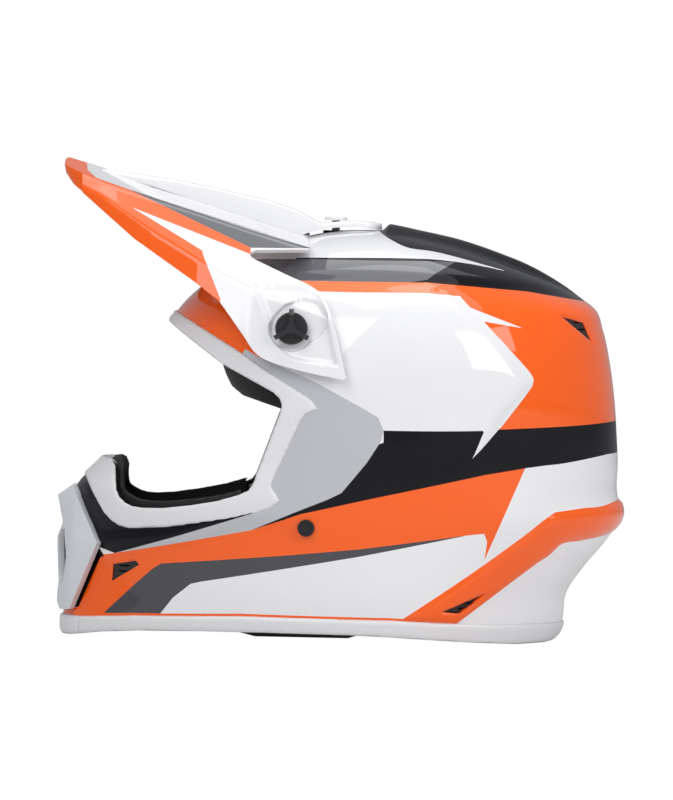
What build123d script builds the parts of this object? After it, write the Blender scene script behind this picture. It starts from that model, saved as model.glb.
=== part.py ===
from build123d import *

import os
from functools import lru_cache
from math import atan2, copysign, cos, degrees, hypot, pi, radians, sin, sqrt

# Motocross helmet, in millimetres.
#
# Frame: +Z up, the wearer faces -X, the left side is at -Y. The origin is on the ground under the middle of
# the helmet, which stands on the front and rear feet of its neck trim.
#
# Outlines are drawn for the design size below and follow the driving dimensions. Walls, gaps, screws, webbing
# and rings keep their own sizes.

# ---------------------------------------------------------------- driving dimensions
helmet_length = 355.0  # mouthpiece to rear spoiler
crown_height = 256.0  # ground to the top of the shell under the visor tongue
shell_width = 244.0  # over the shell's sides, without the visor arms

# Size at which the outlines are drawn
drawn_length, drawn_height, drawn_width = 355.0, 256.0, 244.0

# Walls and gaps
shell_wall = 3.5
seat_gap = 0.3  # between a piece and what it lies against
trim_proud = 1.6  # how far a rubber trim stands off the skin
trim_lip = 2.5  # rubber over the shell's cut edge
visor_wall = 3.0
visor_clearance = 1.3  # visor tongue and arm pads over the shell pieces they pass

# Visor fixing
screw_radius = 2.5
screw_running_gap = 0.05
knob_radius = 10.0
knob_height = 3.2
wing_reach = 12.0
wing_height = 8.0
insert_radius = 8.0
visor_travel = 10.0  # degrees, raised to lowered

# Strap and rings
webbing_width = 25.0
webbing_thickness = 1.5
ring_wire = 4.0
ring_reach = 20.0  # bar to the middle of the curved end
rivet_radius = 3.0
rivet_cap_radius = 5.2

# Pads
liner_thickness = 8.0
cheek_pad_thickness = 24.0

stretch_x = helmet_length / drawn_length
stretch_y = shell_width / drawn_width
stretch_z = crown_height / drawn_height
far = 2 * helmet_length  # further than any piece reaches
belt_height = 150 * stretch_z  # widest level, above which the skins close over the crown
widest_x = 20 * stretch_x

# ---------------------------------------------------------------- skins
# Level, front, rear, half width and bluntness of the outer skin, at the drawn size
shell_stations = [
    (-6, -174, 134, 103, 1.95),
    (12, -174, 141, 108, 1.95),
    (30, -169, 143.5, 112, 1.95),
    (46, -167, 154, 114, 1.95),
    (63, -167, 168, 116, 1.95),
    (80, -167.5, 177.5, 118, 1.98),
    (92, -166.5, 174.5, 119, 2.0),
    (112, -149, 174.5, 120, 2.0),
    (130, -141, 173.5, 121, 2.05),
    (150, -133, 172, 122, 2.1),
    (175, -121, 168.5, 121, 2.1),
    (195, -110, 164, 116, 2.1),
    (209, -100, 158, 109, 2.1),
    (222, -86, 134, 99, 2.1),
    (235, -68, 104, 84, 2.1),
    (246, -44, 74, 64, 2.1),
    (252.5, -20, 45, 42, 2.1),
    (255.5, -2, 30, 18, 2.1),
]
# The impact liner's cavity
cavity_stations = [
    (-8, -80, 120, 88, 2.1),
    (20, -80, 122, 89, 2.1),
    (45, -80, 123, 90, 2.1),
    (70, -80, 124, 90, 2.1),
    (90, -79, 126, 90, 2.1),
    (110, -78, 127, 90, 2.1),
    (130, -77, 128, 90, 2.1),
    (150, -76, 128, 89, 2.1),
    (170, -79, 126, 87, 2.1),
    (187, -81, 119, 81, 2.1),
    (200, -81, 109, 74, 2.1),
    (211, -76, 96, 64, 2.1),
    (220, -66, 80, 54, 2.1),
    (227, -50, 62, 42, 2.1),
    (231.5, -30, 45, 29, 2.1),
    (234, -10, 28, 14, 2.1),
]


def egg(level, front, rear, width, blunt):
    """Closed horizontal section through the same number of places on each side."""
    steps = 12

    def rim(i, side):
        c, s = cos(pi * i / steps), sin(pi * i / steps)
        reach = rear - widest_x if c >= 0 else widest_x - front
        along = copysign(abs(c) ** (2 / blunt) * reach, c)
        return Vector(widest_x + along, side * width * abs(s) ** (2 / blunt), level)

    left = [rim(i, -1) for i in range(steps - 1, 0, -1)]
    points = [rim(i, 1) for i in range(steps)] + [Vector(front, 0, level)] + left
    return Wire([Edge.make_spline(points, periodic=True)])


def inset_station(station, inset, belt):
    """A station's real level, front, rear and half width, moved inwards by inset."""
    level, front, rear, width, blunt = station
    front, rear, level = front * stretch_x, rear * stretch_x, level * stretch_z
    width = width * stretch_y
    if level <= belt[0]:
        return level, front + inset, rear - inset, width - inset, blunt
    belt_level, belt_front, belt_rear, belt_width, top = belt
    shrink_front = 1 - inset / (widest_x - belt_front)
    shrink_rear = 1 - inset / (belt_rear - widest_x)
    return (
        belt_level + (level - belt_level) * (1 - inset / (top - belt_level)),
        widest_x + (front - widest_x) * shrink_front,
        widest_x + (rear - widest_x) * shrink_rear,
        width * (1 - inset / belt_width),
        blunt,
    )


def belt_of(stations):
    """Level, front, rear and half width at the belt, and the top level, at the real size."""
    level, front, rear, width, _ = next(s for s in stations if s[0] * stretch_z >= belt_height - 1e-6)
    top = stations[-1][0] * stretch_z
    return level * stretch_z, front * stretch_x, rear * stretch_x, width * stretch_y, top


@lru_cache(maxsize=None)
def skin(inset):
    """Solid inside the outer skin, moved inwards by inset."""
    belt = belt_of(shell_stations)
    return Solid.make_loft([egg(*inset_station(s, inset, belt)) for s in shell_stations])


@lru_cache(maxsize=None)
def cavity(inset):
    """Solid inside the impact liner's cavity, moved inwards by inset."""
    belt = belt_of(cavity_stations)
    return Solid.make_loft([egg(*inset_station(s, inset, belt)) for s in cavity_stations])


@lru_cache(maxsize=None)
def wall():
    """The shell's whole wall, without openings."""
    return skin(0.0) - skin(shell_wall)


def width_at(x, z, inset=0.0):
    """Half width of the skin at a place in the side view."""
    belt = belt_of(shell_stations)
    rows = [inset_station(s, inset, belt) for s in shell_stations]
    low, high = next((a, b) for a, b in zip(rows, rows[1:]) if a[0] <= z <= b[0])
    share = (z - low[0]) / (high[0] - low[0])
    _, front, rear, width, blunt = (a + (b - a) * share for a, b in zip(low, high))
    reach = widest_x - front if x < widest_x else rear - widest_x
    return width * (1 - (abs(x - widest_x) / reach) ** blunt) ** (1 / blunt)


# ---------------------------------------------------------------- outlines
def place(x, z):
    """A drawn place in the side view, at the real size."""
    return x * stretch_x, z * stretch_z


def outline(points, corner=0.0, grow=0.0):
    """Face in the side view through drawn points, with rounded corners, grown outwards by a real distance."""
    face = Plane.XZ * Polygon(*[place(*p) for p in points], align=None)
    if corner:
        face = fillet(face.vertices(), corner)
    return offset(face, grow, kind=Kind.INTERSECTION) if grow else face


def across(face):
    """Prism right through the helmet from a face in the side view."""
    return extrude(face, amount=far, both=True)


def side_prism(points, corner=0.0, grow=0.0):
    return across(outline(points, corner, grow))


def plan_prism(points):
    """Prism through all heights from drawn points in the plan view, real width, mirrored left and right."""
    half = [(x * stretch_x, y * stretch_y) for x, y in points]
    face = Polygon(*half, align=None) + Polygon(*[(x, -y) for x, y in half], align=None)
    return extrude(face, amount=far, both=True)


def left_half(part):
    return part & Pos(0, -far / 2, 0) * Box(2 * far, far, 2 * far)


def right_half(part):
    return part & Pos(0, far / 2, 0) * Box(2 * far, far, 2 * far)


def side_rod(x, z, radius, y_from, y_to):
    """Round bar along Y on both sides of the helmet."""
    bar = Pos(x, (y_from + y_to) / 2, z) * Rot(90, 0, 0) * Cylinder(radius, abs(y_to - y_from))
    return bar + mirror(bar, Plane.XZ)


# Goggle opening, open to the front
opening = [
    (-260, 111.5),
    (-150, 111.5),
    (-141, 110),
    (-139.5, 93),
    (-134, 85.5),
    (-126, 82.5),
    (-109.5, 82.5),
    (-76, 88),
    (-56, 95),
    (-53, 100),
    (-37, 145),
    (-36.5, 150),
    (-41, 155.5),
    (-74, 172.5),
    (-110.5, 198.5),
    (-260, 272),
]
# Outer edge of the rubber round the goggle opening
opening_trim = [
    (-260, 99.5),
    (-160, 99.5),
    (-151, 84.5),
    (-143, 74),
    (-132, 69),
    (-109, 70.5),
    (-67, 77),
    (-47, 82.5),
    (-37, 89),
    (-43, 98),
    (-24, 140),
    (-22.5, 142.5),
    (-14.5, 146),
    (-21, 153.5),
    (-28.5, 158),
    (-66, 182),
    (-107.5, 206),
    (-260, 283),
]
# Lower edge of the neck trim, and its upper edge
neck_low = [(-172.5, 0), (-168, 0), (-148, 3.7), (-125, 5.7), (-86, 6.9), (-46, 7.2)]
neck_low += [(7, 6.6), (31, 5.6), (56, 4)]
neck_low += [(86, 1.9), (110, 0), (128, 0)]
neck_high = [(-260, 11.5), (-163, 12.5), (-126, 15), (-61, 17), (31, 16), (90, 13.3), (260, 9.5)]
neck_rear_corner = [(133.5, 1.2), (138, 4), (260, 8)]
neck_front_corner = [(-260, 4), (-176, 3.5)]


def below_neck(lift=0.0):
    """Everything under the lower edge of the neck trim, lifted by a real distance."""
    edge = neck_front_corner + neck_low + neck_rear_corner
    return Pos(0, 0, lift) * side_prism([(-260, -90), *edge, (260, -90)])


def above(points, lift=0.0):
    """Everything over a line in the side view, lifted by a real distance."""
    return Pos(0, 0, lift) * side_prism([*points, (260, 400), (-260, 400)])


def opening_prism(grow=0.0):
    return side_prism(opening, grow=grow)


# ---------------------------------------------------------------- shell openings
chin_vent = [(-141.5, 46), (-126.5, 49), (-124.5, 46.5), (-142.5, 35)]
rear_vent = [(135, 205), (150.5, 200.5), (157, 187)]
neck_vent = [(63, 21.5), (90.5, 33.5), (80.5, 24), (74.5, 20)]
vent_outlines = {"chin_vent_louvre": chin_vent, "rear_vent_mesh": rear_vent, "neck_vent_mesh": neck_vent}
vent_depth = {"chin_vent_louvre": 1.6, "rear_vent_mesh": 1.4, "neck_vent_mesh": 1.4}
mouth_low, mouth_high, mouth_half_width = 30 * stretch_z, 68 * stretch_z, 30 * stretch_y
mouth_bar_half = 6.0
brow_vent_x, brow_vent_z, brow_vent_y = -82 * stretch_x, 222 * stretch_z, 34 * stretch_y
brow_vent_length, brow_vent_height = 34.0, 10.0

screw_x, screw_z = place(-31.5, 195.5)
pivot_x, pivot_z = place(6, 151)
rivet_x, rivet_z = place(-21, 72.5)
top_screw_x = -5 * stretch_x

side_skin_y = width_at(screw_x, screw_z)  # half width of the shell at the side screws
arm_inner_y = width_at(screw_x + 20, screw_z - 12) + 0.8  # flat inner face of the visor's arm pads
arm_floor_y = arm_inner_y + visor_wall  # floor of the knob pocket
rivet_skin_y = width_at(rivet_x, rivet_z)


def mouth(grow=0.0):
    """Hexagonal mouth passage along X, grown by a real distance."""
    middle = (mouth_low + mouth_high) / 2
    wide, tall = mouth_half_width + grow, (mouth_high - mouth_low) / 2 + grow
    narrow = wide * 0.72
    points = [(-narrow, -tall), (narrow, -tall), (wide, 0), (narrow, tall), (-narrow, tall), (-wide, 0)]
    face = Plane.YZ * Polygon(*[(y, middle + z) for y, z in points], align=None)
    return Pos(-far - 100 * stretch_x, 0, 0) * extrude(face, amount=far)


def brow_vents(grow=0.0):
    """Pair of slots through the forehead, along X."""
    pair = Part()
    for side in (-1, 1):
        slot = Box(80 * stretch_x, brow_vent_length + 2 * grow, brow_vent_height + 2 * grow)
        pair += Pos(brow_vent_x, side * brow_vent_y, brow_vent_z) * slot
    return pair


def shell_part():
    """Moulded outer shell with its goggle opening, mouth, vents and fixing holes."""
    shell = wall()
    shell -= opening_prism(grow=trim_lip)
    shell -= below_neck(lift=trim_lip)
    shell -= mouth()
    shell -= brow_vents()
    shell -= mouthpiece_screws(grow=seat_gap)
    for points in vent_outlines.values():
        shell -= side_prism(points, grow=seat_gap)
    shell -= side_rod(screw_x, screw_z, insert_radius + seat_gap, 0.6 * side_skin_y, far / 2)
    shell -= side_rod(rivet_x, rivet_z, rivet_radius + seat_gap, 0.6 * rivet_skin_y, far / 2)
    return largest(shell - Pos(top_screw_x, 0, crown_height) * Cylinder(insert_radius + seat_gap, 60))


def vent_insert(name, side):
    """Thin insert in a vent: a louvre with slits, or a plate that carries the mesh."""
    depth = vent_depth[name]
    middle = (shell_wall - depth) / 2
    plate = (skin(middle) - skin(middle + depth)) & side_prism(vent_outlines[name])
    points = [place(*p) for p in vent_outlines[name]]
    low, high = min(z for _, z in points), max(z for _, z in points)
    slit_count, slit = 3, 1.0
    for i in range(1, slit_count + 1):
        z = low + (high - low) * i / (slit_count + 1)
        x = sum(x for x, _ in points) / len(points)
        plate -= Pos(x, 0, z) * Box(7 * stretch_x, far, slit)
    return left_half(plate) if side < 0 else right_half(plate)


def brow_mesh():
    """Mesh plates in the forehead vents."""
    plates = (skin(1.0) - skin(2.4)) & brow_vents(grow=-0.05)
    for side in (-1, 1):
        for i in (-1, 0, 1):
            slit = Box(80 * stretch_x, 5, 6)
            plates -= Pos(brow_vent_x, side * brow_vent_y + i * 9, brow_vent_z) * slit
    return plates


# ---------------------------------------------------------------- rubber trims
flange_depth = 1.6  # inner leg of each trim, off the shell's inner skin
flange_width = 6.0  # how far the inner legs reach from the edge


def eyeport_trim():
    """Channel of rubber on the cut edge of the goggle opening, wide outside and narrow inside."""
    outside = (skin(-trim_proud) - skin(shell_wall / 2)) & side_prism(opening_trim)
    inside = skin(shell_wall / 2) - skin(shell_wall + flange_depth)
    inside = inside & opening_prism(grow=flange_width + trim_lip)
    trim = outside + inside - opening_prism()
    return largest(trim - (wall() - opening_prism(grow=trim_lip)))


@lru_cache(maxsize=None)
def neck_channel():
    """Channel of rubber on the shell's lower edge."""
    channel = skin(-trim_proud) - skin(shell_wall + flange_depth) - above(neck_high) - below_neck()
    return channel - (wall() - below_neck(lift=trim_lip))


chin_cap_end = -162 * stretch_x


def front_of(x):
    return Pos(x - far / 2, 0, 0) * Box(far, far, far)


def chin_cap():
    """Hard cap on the front corner of the chin, where the neck trim ends."""
    return largest(neck_channel() & front_of(chin_cap_end))


def neck_trim():
    return largest(neck_channel() - front_of(chin_cap_end + seat_gap))


# ---------------------------------------------------------------- mouthpiece
mouthpiece_side = [
    (-168, 93.5),
    (-177.5, 87),
    (-174, 70),
    (-177.5, 61),
    (-177.5, 57),
    (-176.5, 33),
    (-177.5, 21),
    (-175.5, 15.5),
    (-169, 16.5),
    (-151.5, 59),
]
# Plan of the mouthpiece's facets at three levels: half width at the nose, the flank and the rear edge
mouthpiece_levels = [
    (10, (-177.5, 12), (-171, 30), (-158, 46), (-130, 46)),
    (59, (-177.5, 12), (-168, 37), (-148, 56), (-130, 56)),
    (97, (-177.5, 10), (-165, 28), (-156, 40), (-130, 40)),
]


def mouthpiece():
    """Faceted nose of the chin bar, over the mouth passage, with a bar down its middle."""
    sections = []
    for level, *plan in mouthpiece_levels:
        half = [(x * stretch_x, y * stretch_y) for x, y in plan]
        rim = half + [(x, -y) for x, y in reversed(half)]
        sections.append(Wire.make_polygon([Vector(x, y, level * stretch_z) for x, y in rim]))
    nose = Solid.make_loft(sections, ruled=True) & side_prism(mouthpiece_side)
    nose -= skin(-seat_gap)
    passage = mouth(grow=-2.0) - Box(far * 3, 2 * mouth_bar_half, far)
    return largest(nose - passage - mouthpiece_screws(grow=seat_gap))


def mouth_grille():
    """Plate of bars inside the shell's mouth passage, behind the mouthpiece."""
    plate = (skin(0.8) - skin(2.8)) & mouth(grow=-seat_gap)
    bar, rows = 2.6, 5
    pitch = (mouth_high - mouth_low) / rows
    for i in range(rows):
        z = mouth_low + (i + 0.5) * pitch
        wide = 2 * mouth_half_width * (1 - 0.28 * abs(2 * i + 1 - rows) / rows) - 10
        slit = Pos(-150 * stretch_x, 0, z) * Box(90 * stretch_x, wide, pitch - bar)
        plate -= slit - Box(far * 3, 3.0, far)
    return plate


def mouthpiece_screws(grow=0.0):
    """Two screws that hold the mouthpiece from inside the chin bar, or the holes for them."""
    pair = Part()
    front = -166.5 * stretch_x
    for side in (-1, 1):
        y, z = side * 13 * stretch_y, 82 * stretch_z
        pair += Pos(front + 3.5, y, z) * Rot(0, 90, 0) * Cylinder(1.6 + grow, 12 + grow)
        pair += Pos(front + 10.5, y, z) * Rot(0, 90, 0) * Cylinder(3.0 + grow, 2.2 + grow)
    return pair


# ---------------------------------------------------------------- energy-absorbing liners
crown_liner_outline = [(-260, 206), (-96, 206), (-60, 186), (-27, 168), (-22, 152), (-20, 136)]
crown_liner_outline += [(46, 134), (46, 44)]
crown_liner_outline += [(54, 38), (260, 38), (260, 400), (-260, 400)]


def insert_pockets():
    """Room in the liners for the visor inserts and screws."""
    side = side_rod(screw_x, screw_z, insert_radius + 1, side_skin_y - 18, far / 2)
    return side + Pos(top_screw_x, 0, crown_height) * Cylinder(insert_radius + 1, 30)


def impact_liner():
    """Foam crown liner between the shell and the comfort liner, with three air channels."""
    foam = skin(shell_wall + seat_gap) - cavity(0.0)
    foam = foam & side_prism(crown_liner_outline)
    foam -= opening_prism(grow=flange_width + trim_lip + 1)
    foam -= brow_vents(grow=2)
    for y in (-30, 0, 30):
        channel = Pos(30 * stretch_x, y * stretch_y, cavity_top()) * Box(120 * stretch_x, 8, 12)
        foam -= channel
    return largest(foam - insert_pockets() - liner_snaps(grow=seat_gap))


def cavity_top():
    return cavity_stations[-1][0] * stretch_z


chin_liner_outline = [(-260, 20), (-96, 20), (-92, 70), (-126, 62), (-140, 66), (-152, 76)]
chin_liner_outline += [(-160, 92), (-260, 92)]


def chin_liner():
    """Foam inside the chin bar, with the mouth passage through it."""
    foam = skin(shell_wall + seat_gap) - skin(shell_wall + 20)
    foam = foam & side_prism(chin_liner_outline)
    foam -= mouth(grow=1)
    for side in (-1, 1):
        foam -= Pos(-150 * stretch_x, side * 13 * stretch_y, 82 * stretch_z) * Box(80, 9, 24)
    return foam


guard_rise, guard_drop = 3.5, 8.0


def breath_guard():
    """Soft black lip inside the chin bar's upper edge, a little higher than the trim."""
    inner = shell_wall + flange_depth + seat_gap
    band = (skin(inner) - skin(inner + 3)) & side_prism(opening, grow=guard_drop)
    band -= Pos(0, 0, guard_rise) * opening_prism()
    low_front = Pos(-far / 2 - 62 * stretch_x, 0, 60 * stretch_z) * Box(far, far, 120 * stretch_z)
    return largest(band & low_front)


# ---------------------------------------------------------------- pads
cheek_outline = [(-84, 20), (-88, 56), (-74, 74), (-50, 84), (-38, 100), (-24, 130)]
cheek_outline += [(14, 130), (38, 118), (42, 60)]
cheek_outline += [(36, 20)]
cheek_pad_outline = [(-80, 2), (-86, 30), (-86, 56), (-72, 74), (-46, 86), (-22, 126)]
cheek_pad_outline += [(14, 126), (36, 112), (40, 50)]
cheek_pad_outline += [(28, 2)]
# Plan lines of the face of the core that the pad lies on
core_face = [(-100, 66), (-60, 76), (0, 84), (60, 88)]


def core_side():
    """Everything outside the line where cores and pads meet."""
    return plan_prism([*core_face, (60, 400), (-100, 400)])


def pad_side():
    """Band of the pads, between the cores and the wearer's cheeks."""
    gap = seat_gap / stretch_y
    thick = cheek_pad_thickness / stretch_y
    outer = [(x, y - gap) for x, y in core_face]
    inner = [(x, y - thick) for x, y in reversed(core_face)]
    return plan_prism(outer + inner)


strap_x = rivet_x
tunnel_z = 26 * stretch_z
tunnel_height = webbing_thickness + 5


def strap_tunnel():
    """Room for the webbing: down the inside of the shell, then inwards through core and pad."""
    clear_width = webbing_width + 5
    across_part = Pos(strap_x, 0, tunnel_z) * Box(clear_width, far, tunnel_height)
    depth = 10.0
    down = skin(0.0) - skin(shell_wall + depth)
    level = (rivet_z + 16 + 10) / 2
    down = down & Pos(strap_x, 0, level) * Box(clear_width, far, rivet_z + 6)
    return across_part + down


def cheek_core(side):
    """Foam block that carries a cheek pad."""
    core = skin(shell_wall + seat_gap) & side_prism(cheek_outline) & core_side()
    core = core - cheek_snaps(grow=seat_gap) - strap_tunnel()
    core -= opening_prism(grow=flange_width + trim_lip + 1)
    core -= insert_pockets()
    return largest(left_half(core) if side < 0 else right_half(core))


def cheek_pad(side):
    """Removable soft cheek pad."""
    pad = side_prism(cheek_pad_outline, corner=4) & pad_side()
    pad = pad & skin(shell_wall + 3)
    pad -= cheek_snaps(grow=seat_gap)
    pad -= strap_tunnel() & Box(far * 2, 2 * 100 * stretch_y, far)
    half = left_half(pad) if side < 0 else right_half(pad)
    return half


def cheek_snaps(grow=0.0):
    """Snap buttons between each cheek core and its pad, or the room for them."""
    buttons = Part()
    for x, z in ((-60, 56), (-4, 112), (20, 70)):
        px, pz = place(x, z)
        lines = zip(core_face, core_face[1:])
        (x0, y0), (x1, y1) = next((a, b) for a, b in lines if a[0] <= x <= b[0])
        y = (y0 + (y1 - y0) * (x - x0) / (x1 - x0)) * stretch_y
        buttons += side_rod(px, pz, 5.0 + grow, y - 3.0 - grow, y + 2.5 + grow)
    return buttons


def comfort_liner():
    """Padded crown liner that lies in the cavity; its brow shows in the goggle opening."""
    points = [(-260, 190), (-84, 190), (-76, 170), (-75, 165), (-71, 157), (-64, 152)]
    points += [(-38, 144.5), (-20, 132)]
    points += [(70, 130), (84, 62), (260, 62), (260, 400), (-260, 400)]
    liner = (cavity(seat_gap) - cavity(liner_thickness)) & side_prism(points)
    return largest(liner - liner_snaps(grow=seat_gap))


def neck_roll():
    """Horseshoe pad round the nape."""
    pad = skin(shell_wall + flange_depth + seat_gap) - skin(shell_wall + 28)
    return pad & side_prism([(52, 1), (52, 36), (260, 36), (260, 1)])


def liner_snaps(grow=0.0):
    """Snap buttons between the crown liner and the comfort liner, or the room for them."""
    buttons = Part()
    for x, z in ((-75, 212), (127, 110)):
        px, pz = place(x, z)
        buttons += Pos(px, 0, pz) * Rot(0, 90, 0) * Cylinder(5 + grow, 5 + 2 * grow)
    return buttons


# ---------------------------------------------------------------- visor
# Half sections of the visor's outer surface: middle, ridge, flank crease and lower edge
visor_stations = [
    (-182, (0, 302), (30, 296), (37, 291), (39, 268)),
    (-150, (0, 292.5), (46, 284), (58, 275), (63, 245)),
    (-120, (0, 284), (58, 274), (77, 255), (86, 222)),
    (-90, (0, 274.5), (68, 265), (94, 237), (104, 196)),
    (-60, (0, 265), (76, 255.5), (108, 221), (119, 165)),
    (-30, (0, 255), (80, 247), (118, 212), (126, 155)),
    (6, (0, 250), (84, 238), (125, 200), (132, 150)),
]
visor_side = [
    (-166.5, 300),
    (-175.5, 299),
    (-175.5, 292),
    (-170, 283),
    (-130, 249),
    (-91, 222.5),
    (-76, 211),
    (-52, 177.5),
    (-35, 172),
    (2, 164.5),
    (-3, 189.5),
    (-10, 211),
    (-15, 218),
    (-34.5, 228),
    (-52, 236),
    (-22, 243),
    (-22, 262),
    (-60, 290),
]
visor_tip = [(-175.5, 0), (-175.5, 20), (-171, 32), (-164, 38), (-100, 140), (60, 140), (60, 0)]
visor_side_hole = [(-54, 242.5), (-27, 242.5), (-27, 237.5), (-54, 237.5)]
tongue_half_width = 17.0
tongue_end = 24 * stretch_x
tongue_thickness = 4.0


def section_band(station):
    """Closed band of a visor section, one wall thick."""
    x, *drawn = station
    half = [(y * stretch_y, z * stretch_z) for y, z in drawn]
    outer = half + [(-y, z) for y, z in half[:0:-1]]
    inner = [(y - copysign(visor_wall, y) if y else 0, z - visor_wall) for y, z in half]
    inner[-1] = (inner[-1][0], half[-1][1])
    inner = inner + [(-y, z) for y, z in inner[:0:-1]]
    count = len(half)
    rim = outer[count - 1 :: -1] + outer[: count - 1 : -1]
    rim += inner[count:] + inner[:count]
    return Wire.make_polygon([Vector(x * stretch_x, y, z) for y, z in rim])


def slot_path(radius_point):
    """Pivot-centred arc, radius and start angle of a slot that starts at a fixed screw."""
    dx, dz = radius_point[0] - pivot_x, radius_point[1] - pivot_z
    return hypot(dx, dz), degrees(atan2(dz, dx))


def arc_slot(radius_point, half_width_of_slot, start_extra=0.0, end_extra=0.0):
    """Face of a slot in the side view, bent round the pivot, that a screw passes over the visor's travel."""
    radius, start = slot_path(radius_point)
    first, last = start + start_extra, start - visor_travel - end_extra
    middle = (first + last) / 2

    def at(angle, reach=radius):
        return pivot_x + reach * cos(radians(angle)), pivot_z + reach * sin(radians(angle))

    outer, inner = radius + half_width_of_slot, radius - half_width_of_slot
    rim = ThreePointArc(at(first, outer), at(middle, outer), at(last, outer))
    rim += ThreePointArc(at(last, inner), at(middle, inner), at(first, inner))
    sides = [Line(at(last, outer), at(last, inner)), Line(at(first, inner), at(first, outer))]
    body = make_face([*rim.edges(), *sides])
    ends = [Pos(*at(a)) * Circle(half_width_of_slot) for a in (first, last)]
    return Plane.XZ * (body + ends[0] + ends[1])


def both_sides(face, y_from, y_to):
    """Plate from a face in the side view, between two half widths, left and right."""
    plate = Pos(0, -y_from, 0) * extrude(face, amount=y_to - y_from)
    return plate + mirror(plate, Plane.XZ)


tongue_inner_radius = crown_height - pivot_z + visor_clearance + seat_gap


def tongue():
    """Middle bridge of the visor, which slides over the crown on an arc about the pivot."""
    inner, outer = tongue_inner_radius, tongue_inner_radius + tongue_thickness
    start_x, end_x = -22 * stretch_x, tongue_end

    def on_arc(x, radius):
        return x, pivot_z + sqrt(radius**2 - (x - pivot_x) ** 2)

    middle_x = (start_x + end_x) / 2
    top = ThreePointArc(on_arc(start_x, outer), on_arc(middle_x, outer), on_arc(end_x, outer))
    under = ThreePointArc(on_arc(end_x, inner), on_arc(middle_x, inner), on_arc(start_x, inner))
    back = Line(on_arc(end_x, outer), on_arc(end_x, inner))
    front = Line(on_arc(start_x, inner), on_arc(start_x, outer))
    arc_band = make_face([*top.edges(), *under.edges(), back, front])
    rise = [(-140, 292), (-90, 283), (-46, 273.5), (-27, 267)]
    fall = [(-30, 260), (-46, 265), (-90, 272), (-140, 285)]
    bridge = [place(*p) for p in rise] + [on_arc(start_x, outer), on_arc(start_x, inner)]
    bridge += [place(*p) for p in fall]
    profile = Plane.XZ * (arc_band + Polygon(*bridge, align=None))
    solid = extrude(profile, amount=tongue_half_width, both=True)
    return fillet(solid.edges().filter_by(Axis.Z).sort_by(Axis.X)[-2:], tongue_half_width * 0.6)


def visor():
    """Peak with its two arms, its middle bridge and three curved slots."""
    sections = [section_band(s) for s in visor_stations]
    peak = Solid.make_loft(sections, ruled=True)
    peak = peak & side_prism(visor_side) & plan_prism(visor_tip)
    peak -= side_prism(visor_side_hole)
    peak = peak + tongue()
    pocket = arc_slot((screw_x, screw_z), wing_reach + 1.2)
    peak += both_sides(arc_slot((screw_x, screw_z), wing_reach + 3), arm_inner_y, arm_floor_y + 0.5)
    peak -= both_sides(pocket, arm_floor_y, arm_floor_y + 30)
    peak -= both_sides(arc_slot((screw_x, screw_z), insert_radius + 1.2), 0.5 * arm_inner_y, arm_inner_y)
    slot_half = screw_radius + 0.6
    peak -= both_sides(arc_slot((screw_x, screw_z), slot_half), 0.5 * arm_inner_y, arm_floor_y + 30)
    radius, _ = slot_path((top_screw_x, pivot_z + tongue_inner_radius))
    run = radius * radians(visor_travel)
    top_slot = SlotCenterToCenter(run, 2 * slot_half)
    peak -= Pos(top_screw_x + run / 2, 0, crown_height) * extrude(top_slot, amount=20, both=True)
    for step in range(5):  # relief over the shell, through the visor's travel
        turned = Pos(pivot_x, 0, pivot_z) * Rot(0, visor_travel * step / 4, 0) * Pos(-pivot_x, 0, -pivot_z)
        peak -= turned * skin(-visor_clearance)
    return largest(peak)


# ---------------------------------------------------------------- visor inserts and screws
def side_insert(side):
    """Threaded insert through the shell, on which the visor's arm slides."""
    inner_y, face_y = side_skin_y - shell_wall - 5, arm_inner_y - seat_gap
    bush = Pos(screw_x, 0, screw_z) * Rot(90, 0, 0) * (
        Cylinder(insert_radius, face_y - inner_y) - Cylinder(screw_radius + screw_running_gap, far)
    )
    return Pos(0, side * (inner_y + face_y) / 2, 0) * bush


def top_insert():
    """Threaded insert in the crown, on which the visor's bridge slides."""
    low = crown_height - shell_wall - 9
    far_edge = abs(top_screw_x - pivot_x) + insert_radius
    high = pivot_z + sqrt((tongue_inner_radius - seat_gap) ** 2 - far_edge**2)
    bush = Cylinder(insert_radius, high - low) - Cylinder(screw_radius + screw_running_gap, far)
    return Pos(top_screw_x, 0, (low + high) / 2) * bush


def knob():
    """Screw with a round head and three wings, its shank along -Z and its seat at the origin."""
    head = Pos(0, 0, knob_height / 2) * Cylinder(knob_radius, knob_height)
    head = fillet(head.edges().group_by(Axis.Z)[-1], 0.8)
    head += Pos(0, 0, (knob_height + wing_height) / 2 - 1) * Cylinder(3.2, wing_height - knob_height + 2)
    for i in range(3):
        on_seat = (Align.CENTER, Align.CENTER, Align.MIN)
        wing = Pos(0, wing_reach / 2, 0) * Box(3.0, wing_reach, wing_height, align=on_seat)
        edge = wing.edges().filter_by(Axis.X).group_by(Axis.Z)[-1].sort_by(Axis.Y)[-1]
        head += Rot(0, 0, 120 * i) * chamfer(edge, 3.5)
    shank_length = arm_floor_y + seat_gap - (side_skin_y - shell_wall - 5) - 1
    shank = Pos(0, 0, -shank_length / 2) * Cylinder(screw_radius, shank_length)
    return head + shank


def side_screw(side):
    screw = Pos(screw_x, -(arm_floor_y + seat_gap), screw_z) * Rot(90, 0, 0) * knob()
    return screw if side < 0 else mirror(screw, Plane.XZ)


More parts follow.
